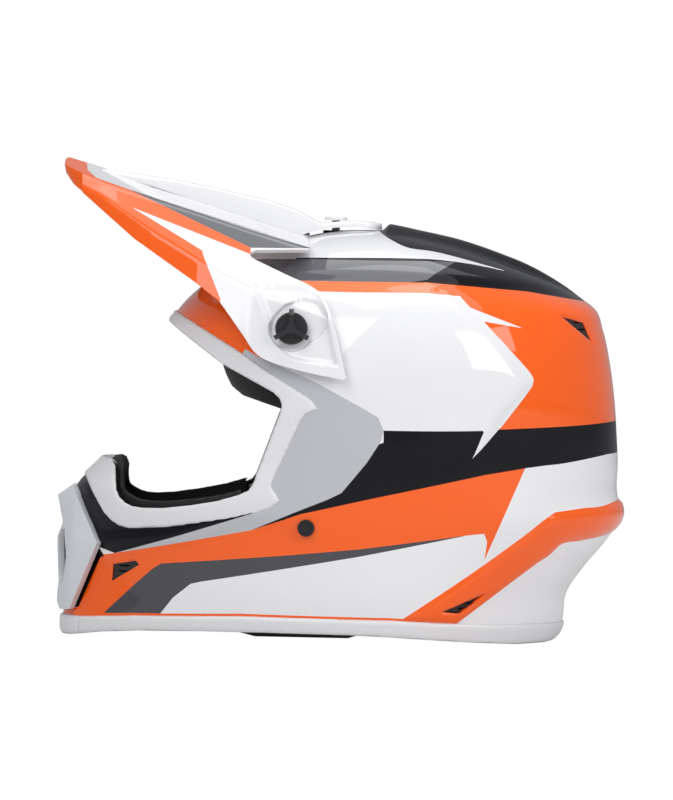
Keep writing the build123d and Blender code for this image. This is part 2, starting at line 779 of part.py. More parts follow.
def top_screw():
    """Low-profile screw of the bridge."""
    seat = pivot_z + tongue_inner_radius + tongue_thickness + seat_gap
    head = Pos(0, 0, 1.1) * Cylinder(7, 2.2)
    head = fillet(head.edges().group_by(Axis.Z)[-1], 0.7)
    head -= Pos(0, 0, 2.2) * Box(9, 1.6, 2)
    shank_length = seat - (crown_height - shell_wall - 9) - 1
    shank = Pos(0, 0, -shank_length / 2) * Cylinder(screw_radius, shank_length)
    return Pos(top_screw_x, 0, seat) * (head + shank)


# ---------------------------------------------------------------- chin strap
strap_edge_x = strap_x - webbing_width / 2
anchor_y = width_at(strap_edge_x, rivet_z - 10) - shell_wall - 1.3  # middle of the webbing at the anchor
cap_lift = 1.0  # flat cap over the curved skin


def anchor(side):
    """Rivet of a strap end, with its cap outside the shell and its head inside the webbing."""
    cap_y, head_y = rivet_skin_y + cap_lift, anchor_y - webbing_thickness / 2 - seat_gap - 0.8
    cap = Pos(0, 0, 0.7) * Cylinder(rivet_cap_radius, 1.4)
    cap -= Pos(0, 0, 1.2) * Cylinder(rivet_cap_radius - 1.4, 1.4)
    shank = Pos(0, 0, (head_y - cap_y) / 2) * Cylinder(rivet_radius, cap_y - head_y)
    head = Pos(0, 0, head_y - cap_y) * Cylinder(5, 1.6)
    turn = Rot(90, 0, 0) if side < 0 else Rot(-90, 0, 0)
    return Pos(rivet_x, side * cap_y, rivet_z) * turn * (cap + shank + head)


def ribbon(points, corners):
    """Flat webbing that follows a path in the plane across the helmet."""
    path = FilletPolyline(*points, radius=corners)
    band = Plane.YZ * trace(path, line_width=webbing_thickness)
    return Pos(strap_x - webbing_width / 2, 0, 0) * extrude(band, amount=webbing_width)


def rivet_hole(side):
    return Pos(rivet_x, side * anchor_y, rivet_z) * Rot(90, 0, 0) * Cylinder(rivet_radius + seat_gap, 12)


drop_y = width_at(strap_edge_x, tunnel_z - 4) - shell_wall - 2.5
ring_clear = 1.0  # webbing to ring, room for the ring's swing
layer = webbing_thickness + seat_gap
wrap = ring_wire / 2 + ring_clear + webbing_thickness / 2
ring_tilt = 6.0  # rest tilt of each ring, upper up and lower down
ring_rise = ring_reach * sin(radians(ring_tilt))
upper_bar = (-26.0, tunnel_z - ring_wire / 2 - 1.2)
lower_bar = (-18.0, upper_bar[1] - 6.8)
upper_end = (upper_bar[0] + ring_reach, upper_bar[1] + ring_rise)
lower_end = (lower_bar[0] + ring_reach, lower_bar[1] - ring_rise)
tail_z = lower_end[1] - wrap
keeper_y, keeper_z = 41.0, (tail_z + tunnel_z) / 2


def strap_start(side):
    """Path of the webbing from its anchor, down the shell and in through the cheek pad."""
    return [(side * anchor_y, rivet_z + 9), (side * anchor_y, rivet_z - 9), (side * drop_y, tunnel_z)]


def ring_strap():
    """Short left strap, looped round the bars of both rings and sewn to itself."""
    low, right = lower_bar[1] - ring_wire / 2 - 1.2, lower_bar[0] + ring_wire / 2 + 1.2
    points = [*strap_start(-1), (right, tunnel_z), (right, low), (-32, low), (-41, tunnel_z - layer)]
    sewn = Pos(strap_x, -49, tunnel_z - layer / 2) * Box(webbing_width, 4, layer)
    corners = [30, 2.4, 2.4, 2.4, 2.4, 2.4]
    return ribbon([*points, (-54, tunnel_z - layer)], corners) - rivet_hole(-1) + sewn


def long_strap():
    """Long right strap: up through both rings, back over the upper one and down through the lower."""
    up_y = lower_bar[0] + ring_wire / 2 + 5
    over_z, down_y = upper_end[1] + wrap, upper_end[0] + wrap
    standing = [*strap_start(1), (56, tunnel_z), (27, tail_z - layer), (up_y, tail_z - layer)]
    turned = [(up_y, over_z), (down_y, over_z), (down_y, tail_z), (26, tail_z)]
    tail = [(49, tail_z + 23 * (tunnel_z - tail_z + layer) / 29)]
    strap = ribbon(standing + turned + tail, [30, 2.4, 8, 8, 2.4, 2.6, 2.6, 2.4, 8])
    return strap - rivet_hole(1) - keeper(hole=seat_gap)


def ring(bar, tilt):
    """Closed wire ring with round corners, its bar along X."""
    half = webbing_width / 2 + 1 + ring_wire / 2
    corners = [(-half, 0), (half, 0), (half, ring_reach), (-half, ring_reach)]
    loop = FilletPolyline(*corners, radius=4.0, close=True)
    start = Plane(origin=(0, 0, 0), z_dir=(1, 0, 0))
    wire = sweep(start * Circle(ring_wire / 2), path=loop.wire())
    return Pos(strap_x, *bar) * Rot(tilt, 0, 0) * wire


def keeper(hole=0.0):
    """Snap that holds the strap's free end on the strap, or the hole for its post."""
    slope = degrees(atan2(tunnel_z - tail_z + layer, 29))
    place_it = Pos(strap_x, keeper_y, keeper_z) * Rot(slope, 0, 0)
    if hole:
        return place_it * Cylinder(2 + hole, 12)
    reach = webbing_thickness + 1.5 * seat_gap
    post = Cylinder(2, 2 * reach + 1)
    post += Pos(0, 0, reach + 0.9) * Cylinder(5, 1.4)
    post += Pos(0, 0, -reach - 0.9) * Cylinder(5, 1.4)
    return place_it * post


# ---------------------------------------------------------------- making
def largest(part):
    """The main solid of a part, without crumbs that a cut left behind."""
    solids = part.solids().sort_by(SortBy.VOLUME)
    kept = [s for s in solids if s.volume > 0.05 * solids[-1].volume]
    return Compound(kept) if len(kept) > 1 else kept[0]


def pieces():
    """Every node of the helmet by name."""
    yield "outer_shell", shell_part()
    yield "eyeport_trim", eyeport_trim()
    yield "neck_trim", neck_trim()
    yield "chin_cap", chin_cap()
    yield "mouthpiece", mouthpiece()
    yield "mouth_grille", mouth_grille()
    yield "mouthpiece_screws", mouthpiece_screws()
    for name in vent_outlines:
        yield f"{name}_left", vent_insert(name, -1)
        yield f"{name}_right", vent_insert(name, 1)
    yield "brow_vent_mesh", brow_mesh()
    yield "impact_liner", impact_liner()
    yield "chin_liner", chin_liner()
    yield "breath_guard", breath_guard()
    yield "cheek_core_left", cheek_core(-1)
    yield "cheek_core_right", cheek_core(1)
    yield "cheek_pad_left", cheek_pad(-1)
    yield "cheek_pad_right", cheek_pad(1)
    yield "cheek_snaps", cheek_snaps()
    yield "comfort_liner", comfort_liner()
    yield "liner_snaps", liner_snaps()
    yield "neck_roll", neck_roll()
    yield "visor", visor()
    yield "visor_insert_left", side_insert(-1)
    yield "visor_insert_right", side_insert(1)
    yield "visor_insert_top", top_insert()
    yield "visor_screw_left", side_screw(-1)
    yield "visor_screw_right", side_screw(1)
    yield "visor_screw_top", top_screw()
    yield "strap_anchor_left", anchor(-1)
    yield "strap_anchor_right", anchor(1)
    yield "chin_strap_left", ring_strap()
    yield "chin_strap_right", long_strap()
    yield "d_ring_lower", ring(lower_bar, -ring_tilt)
    yield "d_ring_upper", ring(upper_bar, ring_tilt)
    yield "keeper_snap", keeper()


if __name__ == "__main__":
    os.makedirs("parts", exist_ok=True)
    for name, part in pieces():
        export_step(part, f"parts/{name}.step")
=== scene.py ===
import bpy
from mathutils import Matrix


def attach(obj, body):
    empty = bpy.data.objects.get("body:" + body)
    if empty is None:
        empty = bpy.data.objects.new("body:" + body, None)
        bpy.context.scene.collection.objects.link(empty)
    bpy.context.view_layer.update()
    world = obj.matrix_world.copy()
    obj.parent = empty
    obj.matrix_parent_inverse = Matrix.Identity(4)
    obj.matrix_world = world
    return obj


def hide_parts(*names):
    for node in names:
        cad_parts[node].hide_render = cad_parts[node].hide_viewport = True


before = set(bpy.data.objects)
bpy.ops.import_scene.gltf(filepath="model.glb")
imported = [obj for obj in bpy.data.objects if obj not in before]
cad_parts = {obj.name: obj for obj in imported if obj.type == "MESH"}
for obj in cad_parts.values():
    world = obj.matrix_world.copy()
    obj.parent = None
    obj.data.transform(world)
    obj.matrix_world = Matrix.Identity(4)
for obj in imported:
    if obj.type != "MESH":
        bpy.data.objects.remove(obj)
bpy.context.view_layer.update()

import math

import bmesh
import bpy
import numpy as np
from mathutils import Vector, noise

mm = 0.001  # outlines and sizes below are in millimetres
seamGap = 0.0001  # places nearer than this are one


# Outlines of the side view, as x and z
openingOutline = [
    (-260, 111.5), (-150, 111.5), (-143, 111), (-140.5, 107), (-139.5, 93), (-137.5, 88.5), (-134, 85.3),
    (-129, 83), (-122, 82.3), (-109.5, 82.6), (-92, 85), (-76, 88), (-62, 92.3), (-56.5, 95), (-54, 98.5),
    (-37.5, 143.5), (-36.6, 148), (-38, 152), (-42, 155.8), (-74, 172.5), (-110.5, 198.5), (-260, 305),
]
trimOutline = [
    (-260, 99.5), (-160, 99.5), (-151, 84.5), (-147, 78), (-142, 73), (-137, 70.2), (-131, 69),
    (-109, 70.5), (-67, 77), (-50, 81.3), (-41, 85), (-37.6, 89), (-39, 92), (-42.6, 97.5), (-42, 101),
    (-25, 138.5), (-22.5, 142.3), (-15, 146), (-17.5, 150.5), (-22, 154), (-28.5, 158), (-66, 182),
    (-107.5, 206), (-260, 302),
]
neckLow = [
    (-260, 4), (-176, 3.5), (-172.5, 0.4), (-168, 0.4), (-148, 3.7), (-125, 5.7), (-86, 6.9),
    (-46, 7.2), (7, 6.6), (31, 5.6), (56, 4), (86, 1.9), (110, 0.4), (128, 0.4), (133.5, 1.2),
    (138, 4), (260, 8),
]
neckHigh = [(-260, 11.5), (-163, 12.5), (-126, 15), (-61, 17), (31, 16), (90, 13.3), (260, 9.5)]
chinVent = [(-141.5, 46), (-126.5, 49), (-124.5, 46.5), (-142.5, 35)]
rearVent = [(135, 205), (150.5, 200.5), (157, 187)]
neckVent = [(63, 21.5), (90.5, 33.5), (80.5, 24), (74.5, 20)]
mouthOutline = [(-30, 49), (-22, 68), (22, 68), (30, 49), (22, 30), (-22, 30)]  # y and z, seen from the front

# Level, front, rear, half width and bluntness of the outer skin
widestX = 20
shellStations = [
    (-6, -174, 134, 103, 1.95), (12, -174, 141, 108, 1.95), (30, -169, 143.5, 112, 1.95),
    (46, -167, 154, 114, 1.95), (63, -167, 168, 116, 1.95), (80, -167.5, 177.5, 118, 1.98),
    (92, -166.5, 174.5, 119, 2.0), (112, -149, 174.5, 120, 2.0), (130, -141, 173.5, 121, 2.05),
    (150, -133, 172, 122, 2.1), (175, -121, 168.5, 121, 2.1), (195, -110, 164, 116, 2.1),
    (209, -100, 158, 109, 2.1), (222, -86, 134, 99, 2.1), (235, -68, 104, 84, 2.1), (246, -44, 74, 64, 2.1),
    (252.5, -20, 45, 42, 2.1), (255.5, -2, 30, 18, 2.1), (256.2, 19, 21, 1, 2.1),
]
cavityStations = [
    (-8, -80, 120, 88, 2.1), (20, -80, 122, 89, 2.1), (45, -80, 123, 90, 2.1), (70, -80, 124, 90, 2.1),
    (90, -79, 126, 90, 2.1), (110, -78, 127, 90, 2.1), (130, -77, 128, 90, 2.1), (150, -76, 128, 89, 2.1),
    (170, -79, 126, 87, 2.1), (187, -81, 119, 81, 2.1), (200, -81, 109, 74, 2.1), (211, -76, 96, 64, 2.1),
    (220, -66, 80, 54, 2.1), (227, -50, 62, 42, 2.1), (231.5, -30, 45, 29, 2.1), (234, -10, 28, 14, 2.1),
    (234.6, 19, 21, 1, 2.1),
]


# Smooth step from 0 to 1, for numbers or arrays
def ramp(value):
    value = np.clip(value, 0, 1)
    return value * value * (3 - 2 * value)


# Stations spread evenly along the surface, on smooth curves through the given ones
def rowsOf(stations, step):
    rows = np.array(stations, float)
    gaps = np.hypot(np.diff(rows[:, 0]), 0.5 * (np.abs(np.diff(rows[:, 1])) + np.abs(np.diff(rows[:, 3]))))
    place = np.concatenate([[0], np.cumsum(gaps)])
    slope = np.gradient(rows, place, axis=0)
    made = []
    for s in np.linspace(0, place[-1], int(place[-1] / step) + 1):
        i = min(int(np.searchsorted(place, s, "right")) - 1, len(gaps) - 1)
        h = gaps[i]
        t = (s - place[i]) / h
        made.append(
            (2 * t**3 - 3 * t**2 + 1) * rows[i] + (t**3 - 2 * t**2 + t) * h * slope[i]
            + (3 * t**2 - 2 * t**3) * rows[i + 1] + (t**3 - t**2) * h * slope[i + 1]
        )
    return made


# Mesh over neighbouring rows of places; closed rows come back to their first place
def sheetOf(rows, closed=False):
    if closed:
        rows = [[*row, row[0]] for row in rows]
    bm = bmesh.new()
    bmesh.ops.create_grid(bm, x_segments=len(rows[0]) - 1, y_segments=len(rows) - 1, size=1)
    for v, spot in zip(bm.verts, [spot for row in rows for spot in row]):
        v.co = spot
    if closed:
        bmesh.ops.remove_doubles(bm, verts=bm.verts, dist=seamGap)
    bm.normal_update()
    return bm


# Turns a sheet over if most of it faces away from a direction
def faceTowards(bm, direction):
    bmesh.ops.recalc_face_normals(bm, faces=bm.faces)
    bm.normal_update()
    if sum(f.normal.dot(Vector(direction)) for f in bm.faces) < 0:
        bmesh.ops.reverse_faces(bm, faces=bm.faces)


# Skin through closed rings of stations; keep(x, y, z) tells which of it is wanted
def skinGrid(stations, step, columns, keep=None):
    rings = []
    for level, front, rear, width, blunt in rowsOf(stations, step):
        ring = []
        for j in range(columns):
            angle = 2 * math.pi * j / columns
            c, s = math.cos(angle), math.sin(angle)
            reach = rear - widestX if c >= 0 else widestX - front
            x = widestX + math.copysign(abs(c) ** (2 / blunt) * reach, c)
            y = math.copysign(abs(s) ** (2 / blunt) * width, s)
            ring.append((x, y, level))
        rings.append(ring)
    bm = sheetOf(rings, closed=True)
    if keep:
        gone = [f for f in bm.faces if not keep(*f.calc_center_median())]
        bmesh.ops.delete(bm, geom=gone, context="FACES")
    bmesh.ops.recalc_face_normals(bm, faces=bm.faces)
    return bm


# Two of the coordinates of points as an array, x and z unless told otherwise
def sideOf(points, axes=(0, 2)):
    return np.array([(p[axes[0]], p[axes[1]]) for p in points]).reshape(-1, 2)


# Which places of the side view lie in an outline
def inside(places, outline):
    x, z = places[:, 0], places[:, 1]
    hit = np.zeros(len(places), bool)
    for (x0, z0), (x1, z1) in zip(outline, outline[1:] + outline[:1]):
        if z0 != z1:
            crosses = (z0 > z) != (z1 > z)
            hit ^= crosses & (x < (x1 - x0) * (z - z0) / (z1 - z0) + x0)
    return hit


# Distance of places of the side view from a line
def distanceTo(places, line, closed=False):
    ends = line[1:] + line[:1] if closed else line[1:]
    nearest = np.full(len(places), 1e9)
    for (x0, z0), (x1, z1) in zip(line, ends):
        along = np.array([x1 - x0, z1 - z0])
        share = np.clip(((places - (x0, z0)) @ along) / (along @ along + 1e-12), 0, 1)
        gap = places - (np.array([x0, z0]) + share[:, None] * along)
        nearest = np.minimum(nearest, np.hypot(gap[:, 0], gap[:, 1]))
    return nearest


# Gives the mesh edges along a line of the side view, or of the view that has other axes
def imprint(bm, line, closed=True, axes=(0, 2)):
    ends = line[1:] + line[:1] if closed else line[1:]
    across, up = axes
    bm.faces.ensure_lookup_table()
    middles = sideOf([f.calc_center_median() for f in bm.faces], axes)
    close = distanceTo(middles, list(line), closed) < 7
    near = {bm.faces[i] for i in np.nonzero(close)[0]}
    for (x0, z0), (x1, z1) in zip(line, ends):
        low, high = (min(x0, x1) - 0.2, min(z0, z1) - 0.2), (max(x0, x1) + 0.2, max(z0, z1) + 0.2)
        touched = []
        for f in near:
            xs, zs = [v.co[across] for v in f.verts], [v.co[up] for v in f.verts]
            if max(xs) >= low[0] and min(xs) <= high[0] and max(zs) >= low[1] and min(zs) <= high[1]:
                touched.append(f)
        if not touched:
            continue
        geom = set(touched)
        for f in touched:
            geom.update(f.edges)
            geom.update(f.verts)
        spot, normal = Vector((0, 0, 0)), Vector((0, 0, 0))
        spot[across], spot[up] = x0, z0
        normal[across], normal[up] = z1 - z0, x0 - x1
        near.difference_update(touched)
        normal.normalize()
        cut = bmesh.ops.bisect_plane(bm, geom=list(geom), dist=0.02, plane_co=spot, plane_no=normal)
        near.update(g for g in cut["geom"] if isinstance(g, bmesh.types.BMFace))


# Deletes the faces that aren't wanted, by their middles in the side view
def keepFaces(bm, wanted, axes=(0, 2)):
    bm.faces.ensure_lookup_table()
    keep = wanted(sideOf([f.calc_center_median() for f in bm.faces], axes))
    gone = [bm.faces[i] for i in np.nonzero(~keep)[0]]
    bmesh.ops.delete(bm, geom=gone, context="FACES")


# Gives each face the paint of the last region that holds it; regions are (outline, paint)
def paint(bm, regions, names):
    bm.faces.ensure_lookup_table()
    middles = sideOf([f.calc_center_median() for f in bm.faces])
    index = np.zeros(len(middles), int)
    for outline, name in regions:
        index[inside(middles, outline)] = names.index(name)
    for f, i in zip(bm.faces, index):
        f.material_index = int(i)


# Moves vertices along their normals by height(xyz array)
def lift(bm, height):
    bmesh.ops.remove_doubles(bm, verts=bm.verts, dist=0.12)
    bm.normal_update()
    spots = np.array([v.co for v in bm.verts]).reshape(-1, 3)
    heights = height(spots)
    moves = [v.normal * float(h) for v, h in zip(bm.verts, heights)]
    for v, move in zip(bm.verts, moves):
        v.co += move


def between(low, high, share):
    return [np.array(a, float) * (1 - share) + np.array(b, float) * share for a, b in zip(low, high)]


# Smooth open line through points
def soft(points, steps=4):
    made = []
    for i in range(len(points) - 1):
        p0, p1 = np.array(points[max(i - 1, 0)], float), np.array(points[i], float)
        p2, p3 = np.array(points[i + 1], float), np.array(points[min(i + 2, len(points) - 1)], float)
        for k in range(steps):
            t = k / steps
            bend = 2 * p0 - 5 * p1 + 4 * p2 - p3 + t * (3 * (p1 - p2) + p3 - p0)
            spot = p1 + 0.5 * t * (p2 - p0 + t * bend)
            made.append((float(spot[0]), float(spot[1])))
    made.append(tuple(float(v) for v in points[-1]))
    return made


finish = {"merge": 0.003, "bevelSegments": 3, "bevelAngle": 50}


# Makes an object on a body of the frame from a mesh in millimetres; wall goes inwards
def piece(name, bm, materials, body="helmet", stands=(), wall=0.0, bevel=0.0):
    bmesh.ops.remove_doubles(bm, verts=bm.verts, dist=finish["merge"])
    bmesh.ops.scale(bm, vec=(mm, mm, mm), verts=bm.verts)
    for f in bm.faces:
        f.smooth = True
    mesh = bpy.data.meshes.new(name)
    bm.to_mesh(mesh)
    bm.free()
    for material in materials:
        mesh.materials.append(material)
    made = bpy.data.objects.new(name, mesh)
    bpy.context.scene.collection.objects.link(made)
    if wall:
        thick = made.modifiers.new("wall", "SOLIDIFY")
        thick.thickness = wall * mm
        thick.offset = -1
        thick.use_even_offset = False
    if bevel:
        edge = made.modifiers.new("edge", "BEVEL")
        edge.width = bevel * mm
        edge.segments = finish["bevelSegments"]
        edge.limit_method = "ANGLE"
        edge.angle_limit = math.radians(finish["bevelAngle"])
        edge.harden_normals = False
    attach(made, body)
    if stands:
        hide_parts(*stands)
    return made


def newGroup(name, inputs, outputs):
    group = bpy.data.node_groups.new(name, "ShaderNodeTree")
    for label, kind, value in inputs:
        socket = group.interface.new_socket(label, in_out="INPUT", socket_type=kind)
        socket.default_value = value
    for label, kind in outputs:
        group.interface.new_socket(label, in_out="OUTPUT", socket_type=kind)
    return group, group.nodes.new("NodeGroupInput"), group.nodes.new("NodeGroupOutput")


# Fine surface grain: a bump normal and a mask for roughness, on Object coordinates
def makeGrain():
    group, given, out = newGroup(
        "surfaceGrain",
        [("Scale", "NodeSocketFloat", 900.0), ("Height", "NodeSocketFloat", 0.1)],
        [("Normal", "NodeSocketVector"), ("Mask", "NodeSocketFloat")],
    )
    nodes, links = group.nodes, group.links
    place = nodes.new("ShaderNodeTexCoord")
    speck = nodes.new("ShaderNodeTexNoise")
    speck.inputs["Detail"].default_value = 3
    broad = nodes.new("ShaderNodeTexNoise")
    broad.inputs["Scale"].default_value = 22
    bump = nodes.new("ShaderNodeBump")
    bump.inputs["Distance"].default_value = 0.0002
    links.new(place.outputs["Object"], speck.inputs["Vector"])
    links.new(place.outputs["Object"], broad.inputs["Vector"])
    links.new(given.outputs["Scale"], speck.inputs["Scale"])
    links.new(given.outputs["Height"], bump.inputs["Strength"])
    links.new(speck.outputs["Fac"], bump.inputs["Height"])
    links.new(bump.outputs["Normal"], out.inputs["Normal"])
    links.new(broad.outputs["Fac"], out.inputs["Mask"])
    return group


# Knit or weave: small rounded cells with a bump normal and a mask of their height, which cloth uses for
# painted shade in the hollows
def makeWeave():
    group, given, out = newGroup(
        "weave",
        [("Scale", "NodeSocketFloat", 700.0), ("Height", "NodeSocketFloat", 0.6)],
        [("Normal", "NodeSocketVector"), ("Mask", "NodeSocketFloat")],
    )
    nodes, links = group.nodes, group.links
    place = nodes.new("ShaderNodeTexCoord")
    cells = nodes.new("ShaderNodeTexVoronoi")
    cells.inputs["Randomness"].default_value = 0.25
    bump = nodes.new("ShaderNodeBump")
    bump.inputs["Distance"].default_value = 0.0006
    links.new(place.outputs["Object"], cells.inputs["Vector"])
    links.new(given.outputs["Scale"], cells.inputs["Scale"])
    links.new(given.outputs["Height"], bump.inputs["Strength"])
    links.new(cells.outputs["Distance"], bump.inputs["Height"])
    links.new(bump.outputs["Normal"], out.inputs["Normal"])
    links.new(cells.outputs["Distance"], out.inputs["Mask"])
    return group


grainGroup, weaveGroup = makeGrain(), makeWeave()


# Principled material with a little unevenness in its gloss and a fine bump
def surface(name, colour, rough, spread=0.04, coat=0.0, scale=900.0, height=0.1, metal=0.0, cloth=False):
    material = bpy.data.materials.new(name)
    material.use_nodes = True
    nodes, links = material.node_tree.nodes, material.node_tree.links
    shader = nodes["Principled BSDF"]
    shader.inputs["Base Color"].default_value = (*colour, 1)
    shader.inputs["Metallic"].default_value = metal
    shader.inputs["Coat Weight"].default_value = coat
    shader.inputs["Coat Roughness"].default_value = 0.04
    detail = nodes.new("ShaderNodeGroup")
    detail.node_tree = weaveGroup if cloth else grainGroup
    detail.inputs["Scale"].default_value = scale
    detail.inputs["Height"].default_value = height
    gloss = nodes.new("ShaderNodeMapRange")
    gloss.inputs["From Min"].default_value = 0.3
    gloss.inputs["From Max"].default_value = 0.7
    gloss.inputs["To Min"].default_value = rough - spread
    gloss.inputs["To Max"].default_value = rough + spread
    links.new(detail.outputs["Mask"], gloss.inputs["Value"])
    links.new(gloss.outputs["Result"], shader.inputs["Roughness"])
    links.new(detail.outputs["Normal"], shader.inputs["Normal"])
    if cloth:
        # cloth colour darker in the cells' hollows and lighter on their raised rims: painted shade and
        # painted highlight that follow the bump
        shade = nodes.new("ShaderNodeMix")
        shade.data_type = "RGBA"
        shade.inputs["A"].default_value = (*[c * 0.45 for c in colour], 1)
        shade.inputs["B"].default_value = (*[min(c * 1.5, 1) for c in colour], 1)
        links.new(detail.outputs["Mask"], shade.inputs["Factor"])
        links.new(shade.outputs["Result"], shader.inputs["Base Color"])
        shader.inputs["Sheen Weight"].default_value = 0.25
    return material


# Paint under a clear coat, which alone reflects
def gloss(name, colour, rough=0.35, coat=1.0):
    paint = surface(name, colour, rough, spread=0.03, coat=coat, scale=260.0, height=0.03)
    paint.node_tree.nodes["Principled BSDF"].inputs["Specular IOR Level"].default_value = 0.05
    return paint


paints = {
    "white": gloss("paintWhite", (0.86, 0.86, 0.87)),
    "orange": gloss("paintOrange", (1.0, 0.125, 0.004)),
    # painted reflection: a lighter orange that stands in for a softbox's reflection on the orange paint
    "orangeReflection": gloss("paintOrangeReflection", (1.0, 0.17, 0.02)),
    "black": gloss("paintBlack", (0.004, 0.004, 0.006), coat=0.35),
    "charcoal": gloss("paintCharcoal", (0.062, 0.062, 0.07)),
    # painted reflection: a grey that stands in for a softbox's reflection on the black paint
    "blackReflection": gloss("paintBlackReflection", (0.12, 0.122, 0.135)),
    "grey": surface("paintGrey", (0.52, 0.53, 0.555), 0.36, coat=0.3, scale=600, height=0.05),
}
trimWhite = surface("trimWhite", (0.8, 0.8, 0.81), 0.38, scale=1500, height=0.08)
muzzleGrey = surface("muzzleGrey", (0.7, 0.72, 0.755), 0.4, scale=1600, height=0.12)
blackPlastic = surface("blackPlastic", (0.012, 0.012, 0.013), 0.42, scale=1800, height=0.25)
knobPlastic = surface("knobPlastic", (0.02, 0.02, 0.022), 0.3, scale=2200, height=0.2)
blackRubber = surface("blackRubber", (0.014, 0.014, 0.015), 0.6, scale=1500, height=0.3)
foamBlack = surface("foamBlack", (0.02, 0.02, 0.022), 0.75, scale=330, height=0.6, cloth=True)
padCloth = surface("padCloth", (0.022, 0.022, 0.024), 0.85, scale=620, height=0.9, cloth=True)
padLining = surface("padLining", (0.035, 0.036, 0.038), 0.9, scale=900, height=0.7, cloth=True)
webCloth = surface("webCloth", (0.016, 0.016, 0.017), 0.7, scale=1100, height=0.9, cloth=True)
steel = surface("steel", (0.6, 0.6, 0.62), 0.25, metal=1.0, scale=1400, height=0.08)
darkSteel = surface("darkSteel", (0.03, 0.03, 0.033), 0.38, metal=0.6, scale=1400, height=0.1)
print("stage materials")


# Outer shell
sideCrease = soft([
    (60, 220), (68, 218), (86, 201.5), (100, 187), (115.5, 168), (118, 161), (101, 141), (87, 116.5),
    (60, 104),
])
rearWing = [
    *soft([(37.5, 15.5), (80, 44), (112, 67), (126, 78), (133.5, 83)]),
    *soft([(133.5, 83), (150, 85), (164, 86), (180, 91)]), (190, 80), (171, 67.5),
    *soft([(171, 67.5), (150, 64.5), (138.5, 63), (130.5, 56), (118, 47.5), (72.5, 13.5)]),
]
shellRegions = [
    # upper rear: orange over the whole back, then what lies on it
    ([(-30, 224.5), (52, 224.5), (114, 219.5), (153, 213), (200, 205), (200, 130), (97.5, 134.5),
      *soft([(97.5, 134.5), (115, 157.5), (118, 163), (117, 168.5), (105.5, 181.5), (87, 201)]),
      (111.5, 197), (78.5, 209.5), (72, 216.5), (-30, 218.5)], "orange"),
    # painted reflection: a strip of lighter orange where a softbox's reflection falls on the orange
    ([(-30, 218.5), (-30, 224.5), (52, 224.5), (72, 216.5)], "orangeReflection"),
    # black crown with a painted softbox reflection along its shoulder, and the white tail
    ([(-130, 224.5), (52, 224.5), (114, 219.5), (153, 213), (200, 209), (200, 300), (-130, 300)], "black"),
    ([(-60, 224.5), (40, 224.5), (52, 226), (69.5, 236.5), (-60, 237)], "blackReflection"),
    ([*soft([(18.5, 262), (23.5, 254.5), (32, 249), (41.5, 245), (61, 242), (103.5, 230)]),
      *soft([(103.5, 230), (69.5, 236.5), (28.5, 238.5), (-60, 237)]), (-60, 262)], "white"),
    # brow
    ([(-260, 150), (-46, 166), (-70, 224.5), (-70, 300), (-260, 300)], "orange"),
    # black band round the side
    ([*soft([(26, 133.5), (60, 133.5), (86.5, 134)]), (87, 133), (80.5, 116.5), (97, 134.5),
      *soft([(97, 134.5), (152.5, 137), (200, 141)]), (200, 120.5),
      *soft([(166.5, 118), (140, 113.5), (126, 112), (114, 110.5)]), (-60, 64), (-60, 100),
      (26, 126)], "black"),
    # jaw stripe and what is under it
    ([(114, 110.5), (89.5, 106.5), (22.5, 92), (-24.5, 81), (-54.5, 70.5), (-140, 53), (-148.5, 51.5),
      (-150.5, 50), (-163, 18), (-180, 12), (-148, 14), (-127, 34.5), (-116, 44.5), (-110.5, 48),
      (-99.5, 49), (-30.5, 55.5), (13, 60), (78.5, 69), (89, 70), (91, 65), (89.5, 53.5)], "orange"),
    ([(-110.5, 48), (-99.5, 49), (-30.5, 55.5), (13, 60), (78.5, 69), (13, 55.5), (-11.5, 51), (-86, 37.5),
      (-92, 36), (-103, 27), (-116, 10), (-170, 10), (-148, 14), (-127, 34.5), (-116, 44.5)], "charcoal"),
    # grey surround of the goggle opening, down to its tip
    ([(-60, 182), (-51.5, 177.5), (-16, 162.5), (12, 147.5), (22.5, 141.5), (26, 133.5), (24.5, 127),
      (16, 113.5), (5.5, 100.5), (0.5, 94.5), (-7.5, 90.5), (-34, 79.5), (-54.5, 70.5), (-140, 53),
      (-105, 64), (-55.5, 80.5), (-37.5, 88.5), (-60, 100), (-80, 150)], "grey"),
    # jaw behind the mouthpiece
    ([(-200, 110), (-100, 110), (-37.5, 88.5), (-55.5, 80.5), (-105, 64), (-140, 53), (-151.5, 57),
      (-151, 59), (-170, 96)], "black"),
    ([(-200, 60), (-151, 59), (-147, 51), (-149.5, 49.5), (-163, 18), (-200, 10)], "black"),
    # lower panels
    (rearWing, "orange"),
    ([(-168, 14.2), (-126, 16.4), (-61, 18.4), (31, 17.4), (72, 15.5), (72, 10), (-61, 10),
      (-168, 8)], "orange"),
]


# Raised and sunk forms over the base skin: height of each, and how far it fades
reliefSize = {
    "spineHeight": 4.4, "spineFront": 24, "spineEnd": 105, "spineHalf": 26, "spineTaper": 17,
    "panelHeight": 2.2, "panelRise": 7, "panelFade": 60, "wingHeight": 1.6, "wingRise": 3,
    "shoulderHeight": 1.5, "shoulderRise": 5, "shoulderFade": 22, "jawHeight": 1.3, "jawReach": 9,
}


